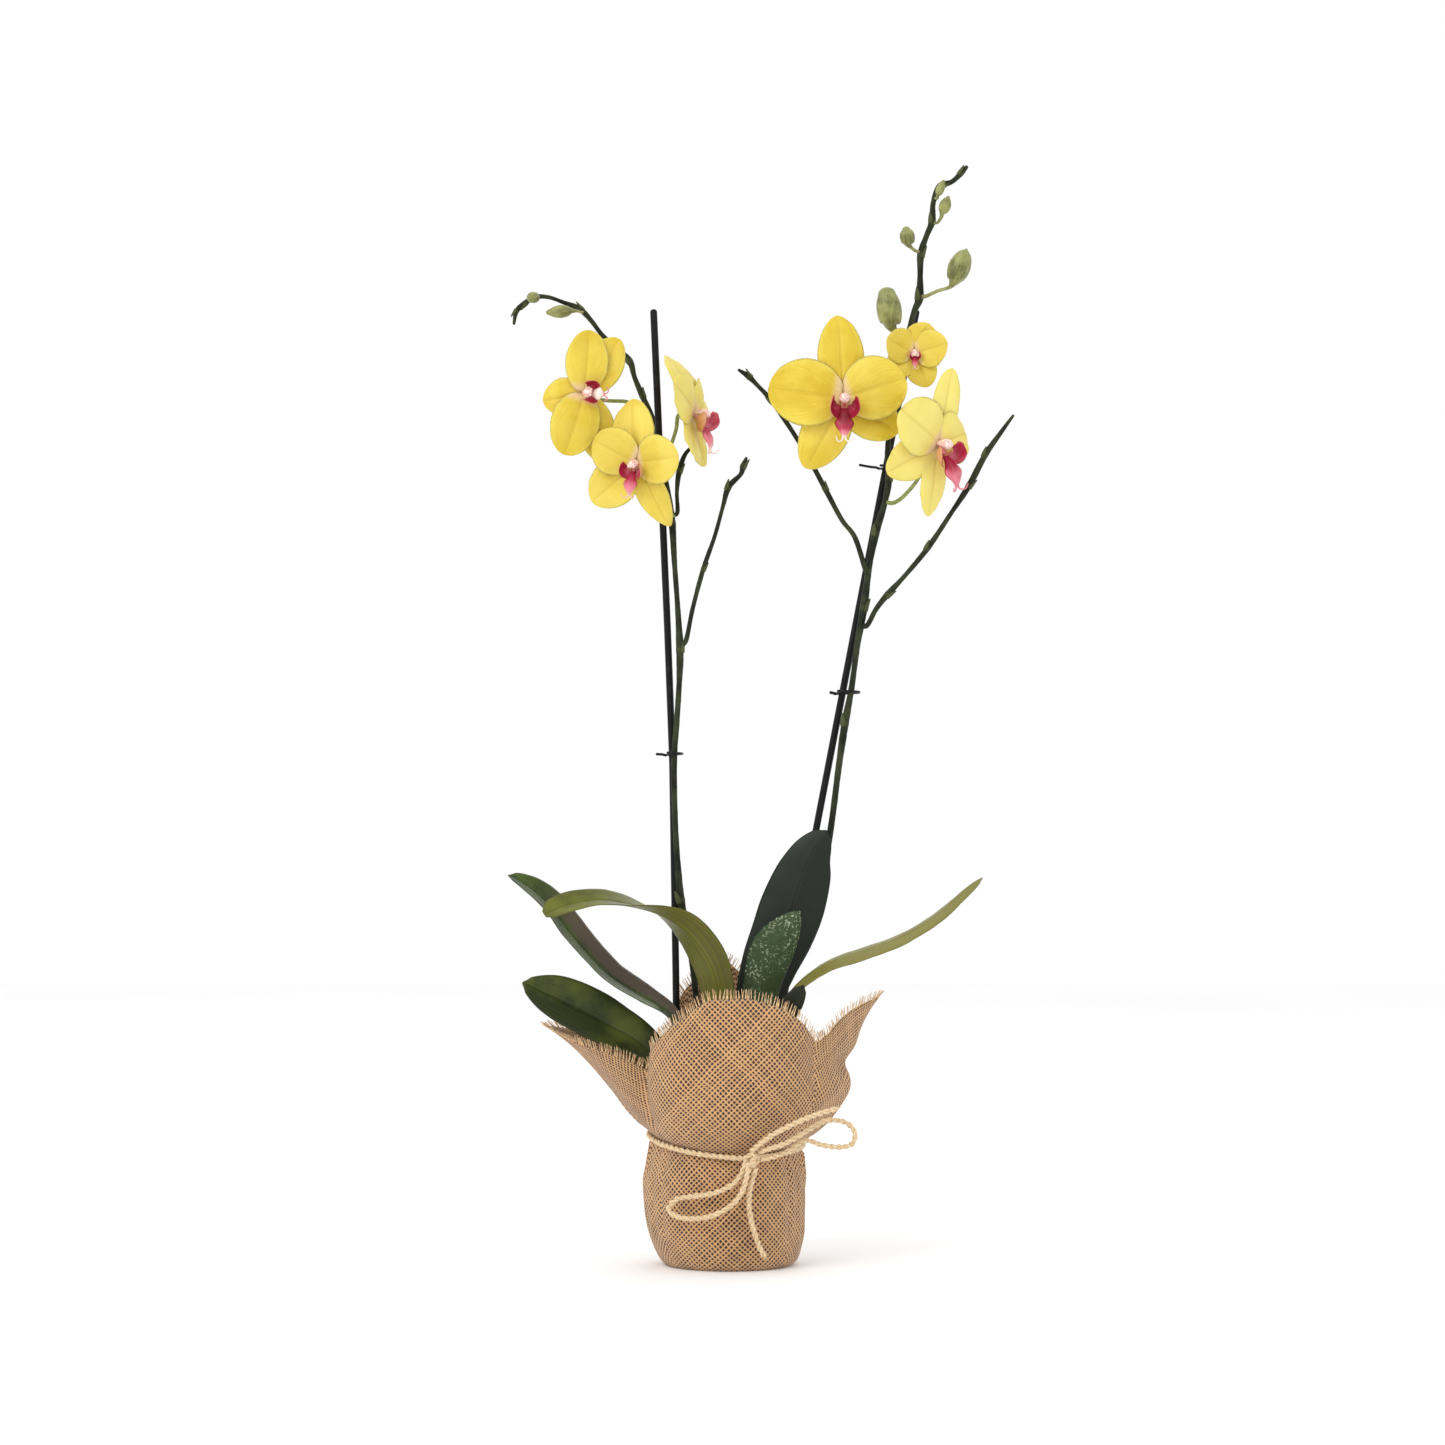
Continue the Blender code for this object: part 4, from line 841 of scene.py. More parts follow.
leaf("leaf_upper_left", [
    (-9, -3.5, 101, 4.5), (-20, -6.5, 134, 7), (-35, -9, 155, 9.5), (-52, -10, 166, 12),
    (-71, -11, 178, 13.5), (-85, -12, 192, 14), (-98, -12, 207.5, 14), (-108, -13, 221.5, 12.5),
    (-117, -14, 230.5, 10.5), (-127, -15, 237.5, 7), (-134.5, -16, 241.5, 2.5)],
     [(0, (-0.10, -0.95, -0.30)), (1, (-0.38, -0.82, -0.43))], 0.30, FOLDED_LEAF, "leaf", 1)
leaf("leaf_arching", [
    (3, -13, 101, 6.0), (1, -18, 136, 8.5), (-5, -22, 169, 10.5), (-9.5, -25, 186, 11.5),
    (-18, -28, 200.5, 13), (-28, -32, 211.5, 14), (-42, -36, 219.5, 14), (-58, -40, 224, 13),
    (-77, -43.5, 227, 12), (-93.5, -46.5, 225, 11.5), (-104, -48.5, 221.5, 10),
    (-110.5, -50, 218.5, 6)],
     [(0, (0.96, 0.28, 0.0)), (0.4, (0.85, -0.15, 0.45)), (0.56, (0.40, -0.75, 0.45)),
      (0.75, (0.12, -0.95, -0.22)), (1, (0.05, -0.75, -0.62))], 0.22, OLIVE_LEAF, "leaf_olive", 2,
     blunt=0.4)
leaf("leaf_lower_left", [
    (-7, -9.5, 84, 5), (-25, -16, 109, 8), (-51, -14, 136, 13), (-70, -13, 147.5, 16),
    (-85, -13, 156, 16.5), (-102, -14, 164.5, 15), (-115, -16, 170.5, 10.5), (-125.5, -18, 175.5, 3)],
     [(0, (-0.25, -0.75, -0.60)), (1, (-0.44, -0.34, -0.80))], 0.18, DEEP_LEAF, "leaf", 3)
leaf("leaf_dark_right", [
    (13.5, 2, 95, 5.5), (16, 3.5, 131, 9), (20.5, 4.5, 163, 14.5), (27, 5.5, 185, 17.5),
    (35, 6, 204, 19.5), (41.5, 6.3, 222, 20), (48, 6.6, 241, 17.5), (52.5, 6.8, 253, 13.5),
    (58, 7, 262, 9), (63, 7, 268.5, 3.5)],
     [(0, (0.25, 0.97, 0.0)), (0.3, (0.91, 0.10, -0.40)), (1, (0.91, -0.10, -0.40))], 0.18,
     DARK_LEAF, "leaf", 4)
leaf("leaf_mid_right", [
    (13, -6, 97, 5), (15, -6.5, 125, 7), (19, -7, 152, 10), (23.5, -8, 177, 12.5),
    (29, -9.5, 195, 14), (37, -12, 208, 10), (45.5, -14, 219.5, 2)],
     [(0, (0.86, 0.30, -0.38)), (1, (0.84, 0.15, -0.50))], 0.16, DUSTY_LEAF, "leaf", 5)
leaf("leaf_long_right", [
    (16, -13, 99, 4.5), (26, -16, 137, 5.5), (38, -17, 166, 7), (60, -16, 185, 10),
    (85, -14, 194.5, 12), (107, -12, 202.5, 12), (129, -12, 215.5, 11), (149, -12, 232.5, 8),
    (158.5, -12, 240, 2)],
     [(0, (0.50, -0.80, -0.3)), (0.35, (0.10, -0.95, -0.26)), (1, (0.10, -0.97, -0.20))], 0.12,
     PALE_LEAF, "leaf_olive", 6)
leaf("leaf_small_right", [
    (13, -20, 91, 4), (22, -26, 123, 6), (33, -31, 149, 8), (42, -34, 165, 6.5),
    (47.5, -36, 175, 2.5)],
     [(0, (0.75, 0.45, -0.50)), (1, (0.80, 0.30, -0.65))], 0.25, SHADE_LEAF, "leaf", 7)


# ---------------------------------------------------------------- flowers
FLOWERS = {
    "left_flower_1": dict(
        centre=(-87, -28, 538), facing=(0.22, -0.97, 0.05), down=(0.92, 0.20, -0.15), lip=1.0, reach=0.55,
        drop=4.0, stalk=[(-56, 11.8, 532.5, 1.3), (-62, 4, 535, 1.2), (-73, -5, 535, 1.2),
                         (-84, -14, 536, 1.3)],
        sepals=[((-25, -1, -5), 24, 1.0, -1.0, 0), ((22, 6, 34), 26, 1.5, -1.5, 0),
                ((13, 8, -42), 25, 1.0, -1.0, 0)],
        petals=[((3, -2, 38.5), 27, 2.0, 0.5, 0), ((-12, -3, -38), 31, 2.0, 0.5, 0)]),
    "left_flower_2": dict(
        centre=(-55, -38, 495), facing=(-0.32, -0.94, -0.10), down=(-0.12, 0.02, -1.0), lip=1.0,
        drop=6.6, stalk=[(-34.4, 0.6, 465, 1.2), (-37, -6, 473, 1.2), (-43, -15, 483, 1.2),
                         (-49, -23, 492, 1.3)],
        sepals=[((-3, 7, 39), 28, 1.5, -1.0, 0), ((-28, 10, -24), 30, 1.0, -1.0, 0),
                ((20, 5, -39), 19, 1.0, -1.0, 62)],
        petals=[((-26, 3, 14), 30, 3.0, 1.0, 0), ((26, -9, 3), 31, 2.0, 1.0, 0)]),
    "left_flower_3": dict(
        centre=(-20, -10, 527), facing=(0.86, -0.50, 0.04), down=(0.10, 0.0, -1.0), lip=1.2,
        drop=6.6, stalk=[(-37.6, 12.4, 502.5, 1.2), (-34, 9, 509, 1.2), (-31, 4, 518, 1.2),
                         (-30, -1, 525, 1.3)],
        sepals=[((-16, 4, 36), 26, 2.0, -1.0, 0), ((5, -22, -32), 21, 1.5, -1.0, 0),
                ((9, 12, -32), 21, 0.0, -1.0, 0)],
        petals=[((-12, -30, 16), 31, 3.0, 1.0, 0), ((2, 31, 14), 31, 3.0, 1.0, 0)]),
    "right_flower_1": dict(
        centre=(72, -30, 535), facing=(0.06, -1.0, 0.03), down=(-0.02, 0.0, -1.0), lip=1.3,
        drop=6.6, stalk=[(98.2, -0.2, 514, 1.3), (90, -7, 519, 1.3), (80, -14, 527, 1.4)],
        sepals=[((-3, 5, 51), 29, 1.0, -1.5, 0), ((-22.5, 4, -43), 30, 1.0, -1.5, 0),
                ((34, 5, -21), 30, 1.0, -1.5, 0)],
        petals=[((-46, -3, 6), 42, 3.0, 0.5, 0), ((38, -2, 12), 40, 3.0, 0.5, 0)]),
    "right_flower_2": dict(
        centre=(116, -14, 564), facing=(0.10, -0.99, 0.08), down=(0.0, -0.2, -1.0), lip=0.5, full=1.4,
        drop=6.6, stalk=[(104.2, -0.6, 538, 1.1), (107, -3, 548, 1.1), (112, -6, 557, 1.2)],
        sepals=[((9, -4, 18), 15, 1.5, 1.0, 0), ((-15, -5, -12), 14, 1.5, 1.0, 0),
                ((9, -4, -21), 14, 1.5, 1.0, 0)],
        petals=[((-17, -12, 8), 16, 1.0, 1.0, 0), ((20, -12, 5), 17, 1.0, 1.0, 0)]),
    "right_flower_3": dict(
        centre=(130, -36, 507), facing=(0.52, -0.85, -0.05), down=(0.25, 0.1, -1.0), lip=1.35,
        drop=7.4, stalk=[(103.5, 2.2, 472, 1.3), (110, -2, 476, 1.2), (119, -9, 487, 1.2),
                         (123, -20, 500, 1.3)],
        sepals=[((9.5, 5, 46), 19, 1.0, -1.0, 20), ((-31, -12, -19), 27, 1.0, -1.0, 0),
                ((-5, 4, -45), 20, 1.0, -1.0, 15)],
        petals=[((-24, -20, 19), 37, 3.0, 0.5, 0), ((17, 12, 7), 33, 3.0, 0.5, 0)]),
}


# A tepal's shape, as shares of its greatest width
BASE_WIDTH = 0.36           # its width where it leaves the column
EDGE_WAVE = 0.045
CREASE_DEPTH = 0.018
LANE_SWELL = 0.030          # how far each half swells beside the crease


TEPAL_THICK = 0.7
TEPAL_HUB = 1.2             # how far from the flower's middle a tepal starts


def tepal(mesh, centre, n, arm, broad, seed, set_back, tone):
    """One tepal from the flower's centre: narrow base, broad middle, softly waved edge."""
    tip, width, bow, cup, roll = arm
    tip = vec(*tip)
    centre = centre - n * set_back
    flat = tip - n * tip.dot(n)
    lift = tip.dot(n)
    along = unit(flat)
    side = np.cross(along, n)
    q = math.radians(roll)
    rolled = side * math.cos(q) + n * math.sin(q)
    rows, lanes = 44, 23
    f = np.linspace(0, 1, rows)
    start = TEPAL_HUB / np.linalg.norm(flat)
    u = start + (1 - start) * (1 - (1 - f) ** 2.2)
    u[-1] = 0.9985
    swell = np.sin(math.pi * u ** 0.96) ** broad
    half = 0.5 * width * np.maximum(swell, np.where(f < 0.5, BASE_WIDTH, 0.0))
    half = np.maximum(half, 0.25)
    path = centre + flat * u[:, None] + n * (lift * u ** 2 + bow * 4 * u * (1 - u))[:, None]
    share = np.minimum(1.0, 1.25 * f)[:, None]
    across = unit(side * (1 - share) + rolled * share)
    up = unit(np.cross(across, np.gradient(path, axis=0)))
    up = up * np.sign(np.sum(up * n, axis=1, keepdims=True))
    v = np.linspace(-1, 1, lanes)
    cupped = cup * v[None, :] ** 2 * (share * np.minimum(1.0, 2 * half / width)[:, None])
    edge = EDGE_WAVE * width * (np.abs(v) ** 3)[None, :] * wobble(u * 9.0, seed)[:, None]
    edge = edge * np.where(v > 0, 1.0, -0.7)[None, :]
    crease = -CREASE_DEPTH * width * np.exp(-(v / 0.10) ** 2)[None, :] * np.sin(math.pi * u)[:, None]
    swell_lane = LANE_SWELL * width * np.sin(math.pi * np.abs(v))[None, :] * np.sin(math.pi * u)[:, None]
    ripple = cupped + edge + crease + swell_lane
    tone = tone + 0.15 * wobble(u * 3.0, seed + 3)
    add_blade(mesh, path, half, across, up, TEPAL_THICK, lanes, ripple=ripple, tone=tone)


def lobe(mesh, points, half, up, thick, tones, curl):
    """A lip lobe along a few points: a curled blade with its own tone from base to tip."""
    path = resample(spline(points, 8), 0.5)
    f = np.linspace(0, 1, len(path))
    wide = np.maximum(np.interp(f, np.linspace(0, 1, len(half)), half), 0.12)
    wide = np.convolve(np.pad(wide, 3, mode="edge"), np.ones(7) / 7, mode="valid")
    along = unit(np.gradient(path, axis=0))
    up = up - along * np.sum(up * along, axis=1, keepdims=True)
    up = unit(up)
    across = unit(np.cross(along, up))
    lanes = 11
    v = np.linspace(-1, 1, lanes)
    rolled = curl * wide[:, None] * v[None, :] ** 2
    tone = np.interp(f, np.linspace(0, 1, len(tones)), tones)
    add_blade(mesh, path, wide, across, up, thick, lanes, ripple=rolled, tone=tone)


PALENESS = {                # how far each flower's yellow is mixed toward a pale yellow
    "left_flower_1": 0.05, "left_flower_2": 0.2, "left_flower_3": 0.65,
    "right_flower_1": 0.05, "right_flower_2": 0.2, "right_flower_3": 0.75}
LIP_TONES = {
    # side lobes from base to tip, then middle lobe from base to tip
    "left_flower_1": ((0.55, 0.95, 0.85), (0.15, 0.12, 0.10, 0.40)),
    "left_flower_2": ((0.45, 0.80, 0.95), (0.95, 0.80, 0.55, 0.25)),
    "left_flower_3": ((0.30, 0.65, 0.62), (0.72, 0.70, 0.50, 0.20)),
    "right_flower_1": ((0.60, 0.95, 0.80), (0.85, 1.05, 0.90, 0.10)),
    "right_flower_2": ((0.45, 0.90, 0.80), (0.60, 0.90, 0.60, 0.20)),
    "right_flower_3": ((0.45, 0.75, 0.70), (0.85, 0.80, 0.55, 0.45)),
}


def flower(name, spec):
    """Sepals, petals, stalk with column, and lip of one flower, each in place of its CAD node."""
    c, n = vec(*spec["centre"]), unit(vec(*spec["facing"]))
    d = vec(*spec["down"])
    d = unit(d - n * d.dot(n))
    s = np.cross(n, d)
    k = spec["lip"]
    seed = 10 * sorted(FLOWERS).index(name)
    for part, broad, set_back in (("sepals", 0.50, 1.8), ("petals", 0.46, 0.0)):
        mesh = Mesh()
        for i, arm in enumerate(spec[part]):
            arm = (arm[0], arm[1] * spec.get("full", 1.0), *arm[2:])
            tepal(mesh, c, n, arm, broad, seed + i, set_back + 0.25 * i, PALENESS[name])
        mesh.make("%s_%s_soft" % (name, part), PETAL, "petal", ["%s_%s" % (name, part)])

    foot = rooted(spec["stalk"][0], spec["stalk"][0][3])
    stalk = np.array([foot] + list(spec["stalk"]) + [(*(c - n * 9.0), 1.35)])
    column = [(*(c + n * out + d * low), r) for out, low, r in (
        (-4.0, 0.0, 1.5), (1.0, 0.0, 1.6), (3.0, 0.1, 2.0), (6.0 * k, 0.6, 2.3 * max(k, 0.8)),
        (8.0 * k, 1.4, 2.2 * max(k, 0.8)), (9.0 * k, 1.9, 1.2))]
    rows = resample(spline(np.vstack([stalk, column]), 8), 0.5)
    tone = smooth_step((rows[:, :3] - c) @ n, -6.0, 0.5)
    mesh = Mesh()
    mesh.tube(rows[:, :3], rows[:, 3], sides=18, tone=tone)
    for turn in (-1, 1):                       # wings of the column, beside the anther cap
        wing = [c + n * 3.0 + s * turn * 1.4, c + n * 6.0 * k + s * turn * 2.5 + d * 1.0,
                c + n * 8.4 * k + s * turn * 1.6 + d * 2.4]
        mesh.tube(spline(wing, 8), [0.9] * 17, sides=10, tone=1.0)
    mesh.make(name + "_column_soft", STALK, "column", [name + "_column"])

    lip(name, c, n, d, s, k, spec["drop"], spec.get("reach", 1.0))


SIDE_LOBE = np.array([1.2, 3.4, 4.4, 4.0, 1.4])                 # half widths from base to tip
MIDDLE_LOBE = np.array([1.6, 2.0, 3.2, 4.8, 4.2, 2.4, 0.9])


def lip(name, c, n, d, s, k, drop, reach):
    """Three-lobed lip: two raised side lobes, a callus between them and a pointed middle lobe."""
    root = c + n * 2.6 * k + d * drop * 0.75 * k
    side_tones, mid_tones = LIP_TONES[name]

    def at(aside, out, low, start=root):
        return start + (s * aside + n * out + d * low) * k

    mesh = Mesh()
    claw = spline([c + n * 1.0, 0.5 * (c + root) + n * 1.0, at(0, 1.2, 0)], 8)
    mesh.tube(claw, 1.1 * k, sides=12, tone=side_tones[0])
    for turn in (-1, 1):
        path = [at(turn, 0, 0), at(turn * 4.4, 2.2, 1.6), at(turn * 6.8, 4.6, -0.6),
                at(turn * 5.8, 7.2, -4.6)]
        lobe(mesh, path, SIDE_LOBE * k, n * 0.35 - s * turn, 0.8, side_tones, curl=0.30)
    path = [at(0, out, low * reach) for out, low in
            ((1.0, 0.0), (4.0, 3.4), (6.4, 7.4), (7.0, 11.4), (5.8, 14.6))]
    lobe(mesh, path, MIDDLE_LOBE * k, n - d * 0.35, 1.0, mid_tones, curl=-0.35)
    tip = path[-1]
    for turn in (-1, 1):                       # the two curled whiskers at the middle lobe's tip
        line = spline([at(0, 0, -1.5, tip), at(turn * 1.2, 0, 1.4, tip), at(turn * 3.2, 1.4, 1.8, tip),
                       at(turn * 4.0, 3.0, -0.2, tip)], 8)
        mesh.tube(line, np.linspace(0.55, 0.22, len(line)) * k, sides=8, tone=mid_tones[-1])
    for turn in (-1, 1):                       # the two-toothed callus
        line = spline([at(turn * 0.9, 1.6, 0), at(turn * 1.2, 3.6, -0.8), at(turn * 0.9, 5.4, -1.6)], 6)
        mesh.tube(line, np.linspace(0.6, 0.3, len(line)) * k, sides=10, tone=0.3)
        mesh.under[-1] = np.ones_like(mesh.under[-1])
    mesh.make(name + "_lip_soft", LIP, "lip", [name + "_lip"])


for flower_name, flower_spec in FLOWERS.items():
    flower(flower_name, flower_spec)


# ---------------------------------------------------------------- burlap wrap
BODY = [                    # height, radius at the left side, radius at the right side
    (0.0, 0.0, 0.0), (0.0, 12.0, 12.0), (0.0, 24.48, 27.0), (0.0, 34.0, 37.5),
    (1.4, 38.0, 41.5), (6.0, 41.8, 45.0), (20.0, 47.8, 48.0), (36.0, 50.6, 48.6),
    (52.0, 51.0, 48.8), (62.0, 48.4, 47.0)]
LOBES = [                   # angle, edge radius and height, then the two pull points of its curve
    (-90, 56, 172, 66, 90, 67, 138), (-101, 57, 171, 66, 90, 67, 138),
    (-117, 61, 159, 66, 90, 68, 132), (-127, 62, 151, 66, 90, 67, 125),
    (-135, 63, 142, 64, 90, 66, 118), (-142, 62, 129, 62, 89, 65, 110),
    (-148, 71, 134, 60, 88, 66, 108), (-154, 82, 138, 60, 89, 70, 112),
    (-161, 93, 141, 60, 90, 74, 118), (-168, 104, 144, 61, 91, 78, 125),
    (-175, 114, 150, 62, 92, 82, 131), (-183, 106, 149, 61, 91, 80, 129),
    (-192, 90, 145, 60, 91, 74, 123), (-204, 74, 141, 58, 91, 66, 117),
    (-218, 62, 138, 56, 91, 60, 115), (-230, 58, 148, 55, 91, 58, 123),
    (-242, 56, 172, 56, 91, 58, 136), (-256, 52, 184, 57, 93, 56, 146),
    (-268, 50, 191, 57, 93, 55, 151), (-282, 51, 181, 57, 93, 55, 146),
    (-297, 53, 168, 56, 93, 56, 136), (-312, 57, 146, 56, 91, 58, 121),
    (-324, 62, 138, 57, 91, 62, 115), (-338, 72, 145, 64, 93, 64, 117),
    (-350, 84, 157, 78, 97, 64, 125), (-364, 98, 170, 93, 100, 63, 131),
    (-373, 88, 166.5, 84, 98, 66, 129), (-381, 79, 160.5, 76, 95, 68, 125),
    (-389, 72, 150, 71, 93, 69, 119), (-396, 68, 146.5, 68, 91, 68, 117),
    (-407, 66, 158.5, 67, 90, 69, 128), (-420, 62, 167.5, 67, 90, 68, 134),
    (-435, 57, 172, 66, 90, 67, 138)]
TIE_R = 45.2
TIE_BAND = 2.0
CLOTH = 0.9
FRAY = 4.5                  # width of the frayed border, where only loose threads are left
PLEATS = [                  # angle, half width in degrees, depth below the tie, depth above it
    (-72, 7, 0.5, 0.2), (-108, 8, 0.6, 0.2), (-142, 4, 1.3, 2.0), (-152, 5, 1.5, 0.5),
    (-166, 4, 1.6, 0.8), (172, 5, 1.6, 1.2), (158, 4, 2.2, 1.6), (144, 5, 2.0, 2.4),
    (128, 4, 2.4, 2.6), (112, 5, 1.4, 1.4), (84, 6, 1.2, 0.8), (60, 5, 1.8, 1.2),
    (44, 4, 2.4, 2.2), (33, 4, 2.2, 2.6), (18, 5, 1.6, 1.4), (2, 4, 1.6, 0.6),
    (-14, 4, 1.6, 0.3), (-26, 4, 1.4, 0.3), (-37, 5, 1.5, 0.3), (-52, 6, 0.8, 0.2)]
DENTS = [                   # angle, half width in degrees, height, reach and depth of soft dents
    (-6, 16, 126, 7, 4.5), (-16, 20, 110, 9, -3.0), (-36, 14, 128, 12, 2.0),
    (-60, 22, 118, 18, -1.5), (-120, 14, 112, 16, -1.2)]
GATHERS = [                 # height from the tie, reach and depth of the fine gathers at the back
    (-12, 15, 3.3), (13, 16, 3.7)]
GATHER_COUNT = 46


def tie_height(a):
    """Height of the twine round the wrap at angle a (radians)."""
    return 76.2 - 3.0 * np.cos(a) + 4.0 * np.sin(a) + 1.3 * np.cos(2 * a)


def lobe_columns(per=12):
    """The lobe table, smoothly filled in right round the wrap."""
    rows = np.array(LOBES, float)
    lap = rows.copy()
    lap[:, 0] -= 360
    before = rows[-2:].copy()
    before[:, 0] += 360
    filled = spline(np.vstack([before, rows, lap[:3]]), per)
    return filled[2 * per:(2 + len(rows)) * per]


def below_tie(a, tie):
    """Radius and height of the cloth's rows from the middle of its base up to the twine."""
    side = 0.5 * (1 + np.cos(a))
    keys = [np.stack([left + (right - left) * side, np.full_like(a, z)], -1) for z, left, right in BODY]
    keys.append(np.stack([np.full_like(a, TIE_R + 0.15), tie - 2 * TIE_BAND], -1))
    return spline(np.array(keys).reshape(len(keys), -1), 6).reshape(-1, len(a), 2)


def above_tie(columns, tie):
    """Radius and height of the cloth's rows from the twine up to where it frays."""
    start = np.stack([np.full_like(tie, TIE_R), tie], -1)
    first, second, edge = columns[:, 3:5], columns[:, 5:7], columns[:, 1:3]
    length = np.linalg.norm(edge - start, axis=1)
    rows = []
    for t in np.linspace(0, 1, 42):
        t = (t * (1 - FRAY / length))[:, None]
        rows.append((1 - t) ** 3 * start + 3 * t * (1 - t) ** 2 * first + 3 * t * t * (1 - t) * second
                    + t ** 3 * edge)
    return np.array(rows)


def bell(a, angle, width):
    """1 at an angle given in degrees, falling off to both sides of it."""
    off = (np.degrees(a) - angle + 180) % 360 - 180
    return np.exp(-(off / width) ** 2)[None, :]


def folded(r, z, a, tie):
    """The radius with the cloth's pleats, dents, soft waves and fine gathers."""
    below = smooth_step(z, 3, 30) * (1 - smooth_step(z, tie - 9, tie - 2.5))
    near = np.exp(-((z - tie + 9) / 7.0) ** 2) * 0.5 * (z < tie - 3)
    above = smooth_step(z, tie + 2, tie + 16)
    for angle, width, low, high in PLEATS:
        r = r - bell(a, angle, width) * (low * 0.75 * (below + near) + high * above)
    for angle, width, height, reach, depth in DENTS:
        r = r - depth * bell(a, angle, width) * np.exp(-((z - height) / reach) ** 2)
    soft = wobble(a * 3, 5)[None, :] * wobble(z * 0.05, 6)
    r = r + 0.7 * soft * smooth_step(z, 4, 20)
    behind = smooth_step(np.sin(a), -0.25, 0.3)[None, :]
    clear = smooth_step(np.abs(z - tie + TIE_BAND), 3.0, 7.0)
    drawn_in = sum(depth * np.exp(-((z - tie - offset) / reach) ** 2) for offset, reach, depth in GATHERS)
    return r + behind * clear * drawn_in * np.cos(GATHER_COUNT * a)[None, :]


def wrap_grid():
    """The cloth as (rows, columns, 3) points, from the middle of its base to its frayed border."""
    columns = lobe_columns()
    a = np.radians(columns[:, 0])
    tie = tie_height(a) + TIE_BAND
    grid = np.vstack([below_tie(a, tie), above_tie(columns, tie)])
    r = folded(grid[..., 0], grid[..., 1], a, tie)
    z = np.maximum(grid[..., 1], CLOTH / 2)
    return np.stack([r * np.cos(a), r * np.sin(a), z], -1), a


MAP_CENTRES = (-90, -4, 92, -175)     # angles of the four corners, each the middle of its map
MAP_SEAMS = (-142, -36, 46, 130)      # the valleys between them


def corner_maps(points, angles):
    """The cloth cut at its valleys: for each corner its points and their map in mm of cloth."""
    count = points.shape[1]
    column, middle = ([int(np.argmin(np.abs((np.degrees(angles) - d + 180) % 360 - 180))) for d in row]
                      for row in (MAP_SEAMS, MAP_CENTRES))
    risen = np.cumsum(np.linalg.norm(np.diff(points, axis=0), axis=2), axis=0)
    up = np.vstack([np.zeros((1, count)), risen])
    for start, end, centre in zip(column, column[1:] + column[:1], middle):
        span = (start - end) % count
        order = (end + np.arange(span + 1)) % count
        part = points[:, order]
        steps = np.linalg.norm(np.diff(part, axis=1), axis=2)
        along = np.concatenate([np.zeros((len(part), 1)), np.cumsum(steps, axis=1)], axis=1)
        at = int(np.argmax(order == centre))
        along = along - along[:, at:at + 1]
        yield part, np.stack([along, up[:, order]], -1)


def weld(obj):
    """Joins the cloth's parts along their shared columns."""
    bm = bmesh.new()
    bm.from_mesh(obj.data)
    bmesh.ops.remove_doubles(bm, verts=bm.verts, dist=1e-6)
    bm.to_mesh(obj.data)
    bm.free()


cloth_points, cloth_angles = wrap_grid()
cloth = Mesh()
for part, part_uv in corner_maps(cloth_points, cloth_angles):
    cloth.add(part, part_uv, closed=False)
wrap = cloth.make("burlap_wrap_cloth", BURLAP, "burlap", ["burlap_wrap"], outward=False)
weld(wrap)
thickness = wrap.modifiers.new("thickness", "SOLIDIFY")
thickness.thickness = CLOTH * MM
thickness.offset = 0.0


def add_thread(mesh, start, along, sideways, length, radius, bend, rows=5):
    """One loose thread end: a thin tapering tube that bends a little."""
    f = np.linspace(0, 1, rows)[:, None]
    path = start + along * length * f + sideways * bend * f ** 2
    s = np.linspace(1, 0.45, rows)
    rings = rings_round(path, radius * s, 5)
    uv = np.stack(np.broadcast_arrays(np.arange(6)[None, :] / 5, (length * f)), -1)
    mesh.add(rings, uv)


FRINGE_PITCH = 1.9
ROOT_IN = 1.2               # how far inside the border a loose thread starts


def on_line(line, s, at):
    """The point of a line whose lengths are s at the length `at`."""
    return np.array([np.interp(at, s, line[:, k]) for k in range(3)])


def fringe_threads(points):
    """The loose threads that stick out along the cloth's frayed border, two at a time."""
    mesh = Mesh()
    border = np.concatenate([points[-1], points[-1][:1]])
    inside = np.concatenate([points[-3], points[-3][:1]])
    s = arc_length(border)
    for at in np.arange(0, s[-1], FRINGE_PITCH):
        at = at + rng.uniform(-0.35, 0.35)
        here = on_line(border, s, at)
        edge_way = unit(on_line(border, s, at + 1.0) - here)
        out_way = unit(here - on_line(inside, s, at))
        out_way = unit(out_way - edge_way * out_way.dot(edge_way) * 0.7)
        normal = unit(np.cross(edge_way, out_way))
        for _ in range(2):
            length = rng.uniform(4.8, 6.8)
            lean = unit(out_way + edge_way * rng.normal(0, 0.06) + normal * rng.normal(0, 0.05))
            spread = edge_way * rng.normal(0, 0.35) + normal * rng.normal(0, 0.4)
            start = here - out_way * ROOT_IN + edge_way * rng.uniform(-0.6, 0.6)
            add_thread(mesh, start, lean, spread, length + ROOT_IN, rng.uniform(0.26, 0.38), 1.0)
    return mesh


fringe = fringe_threads(cloth_points).make("burlap_fringe", FRINGE, "burlap")


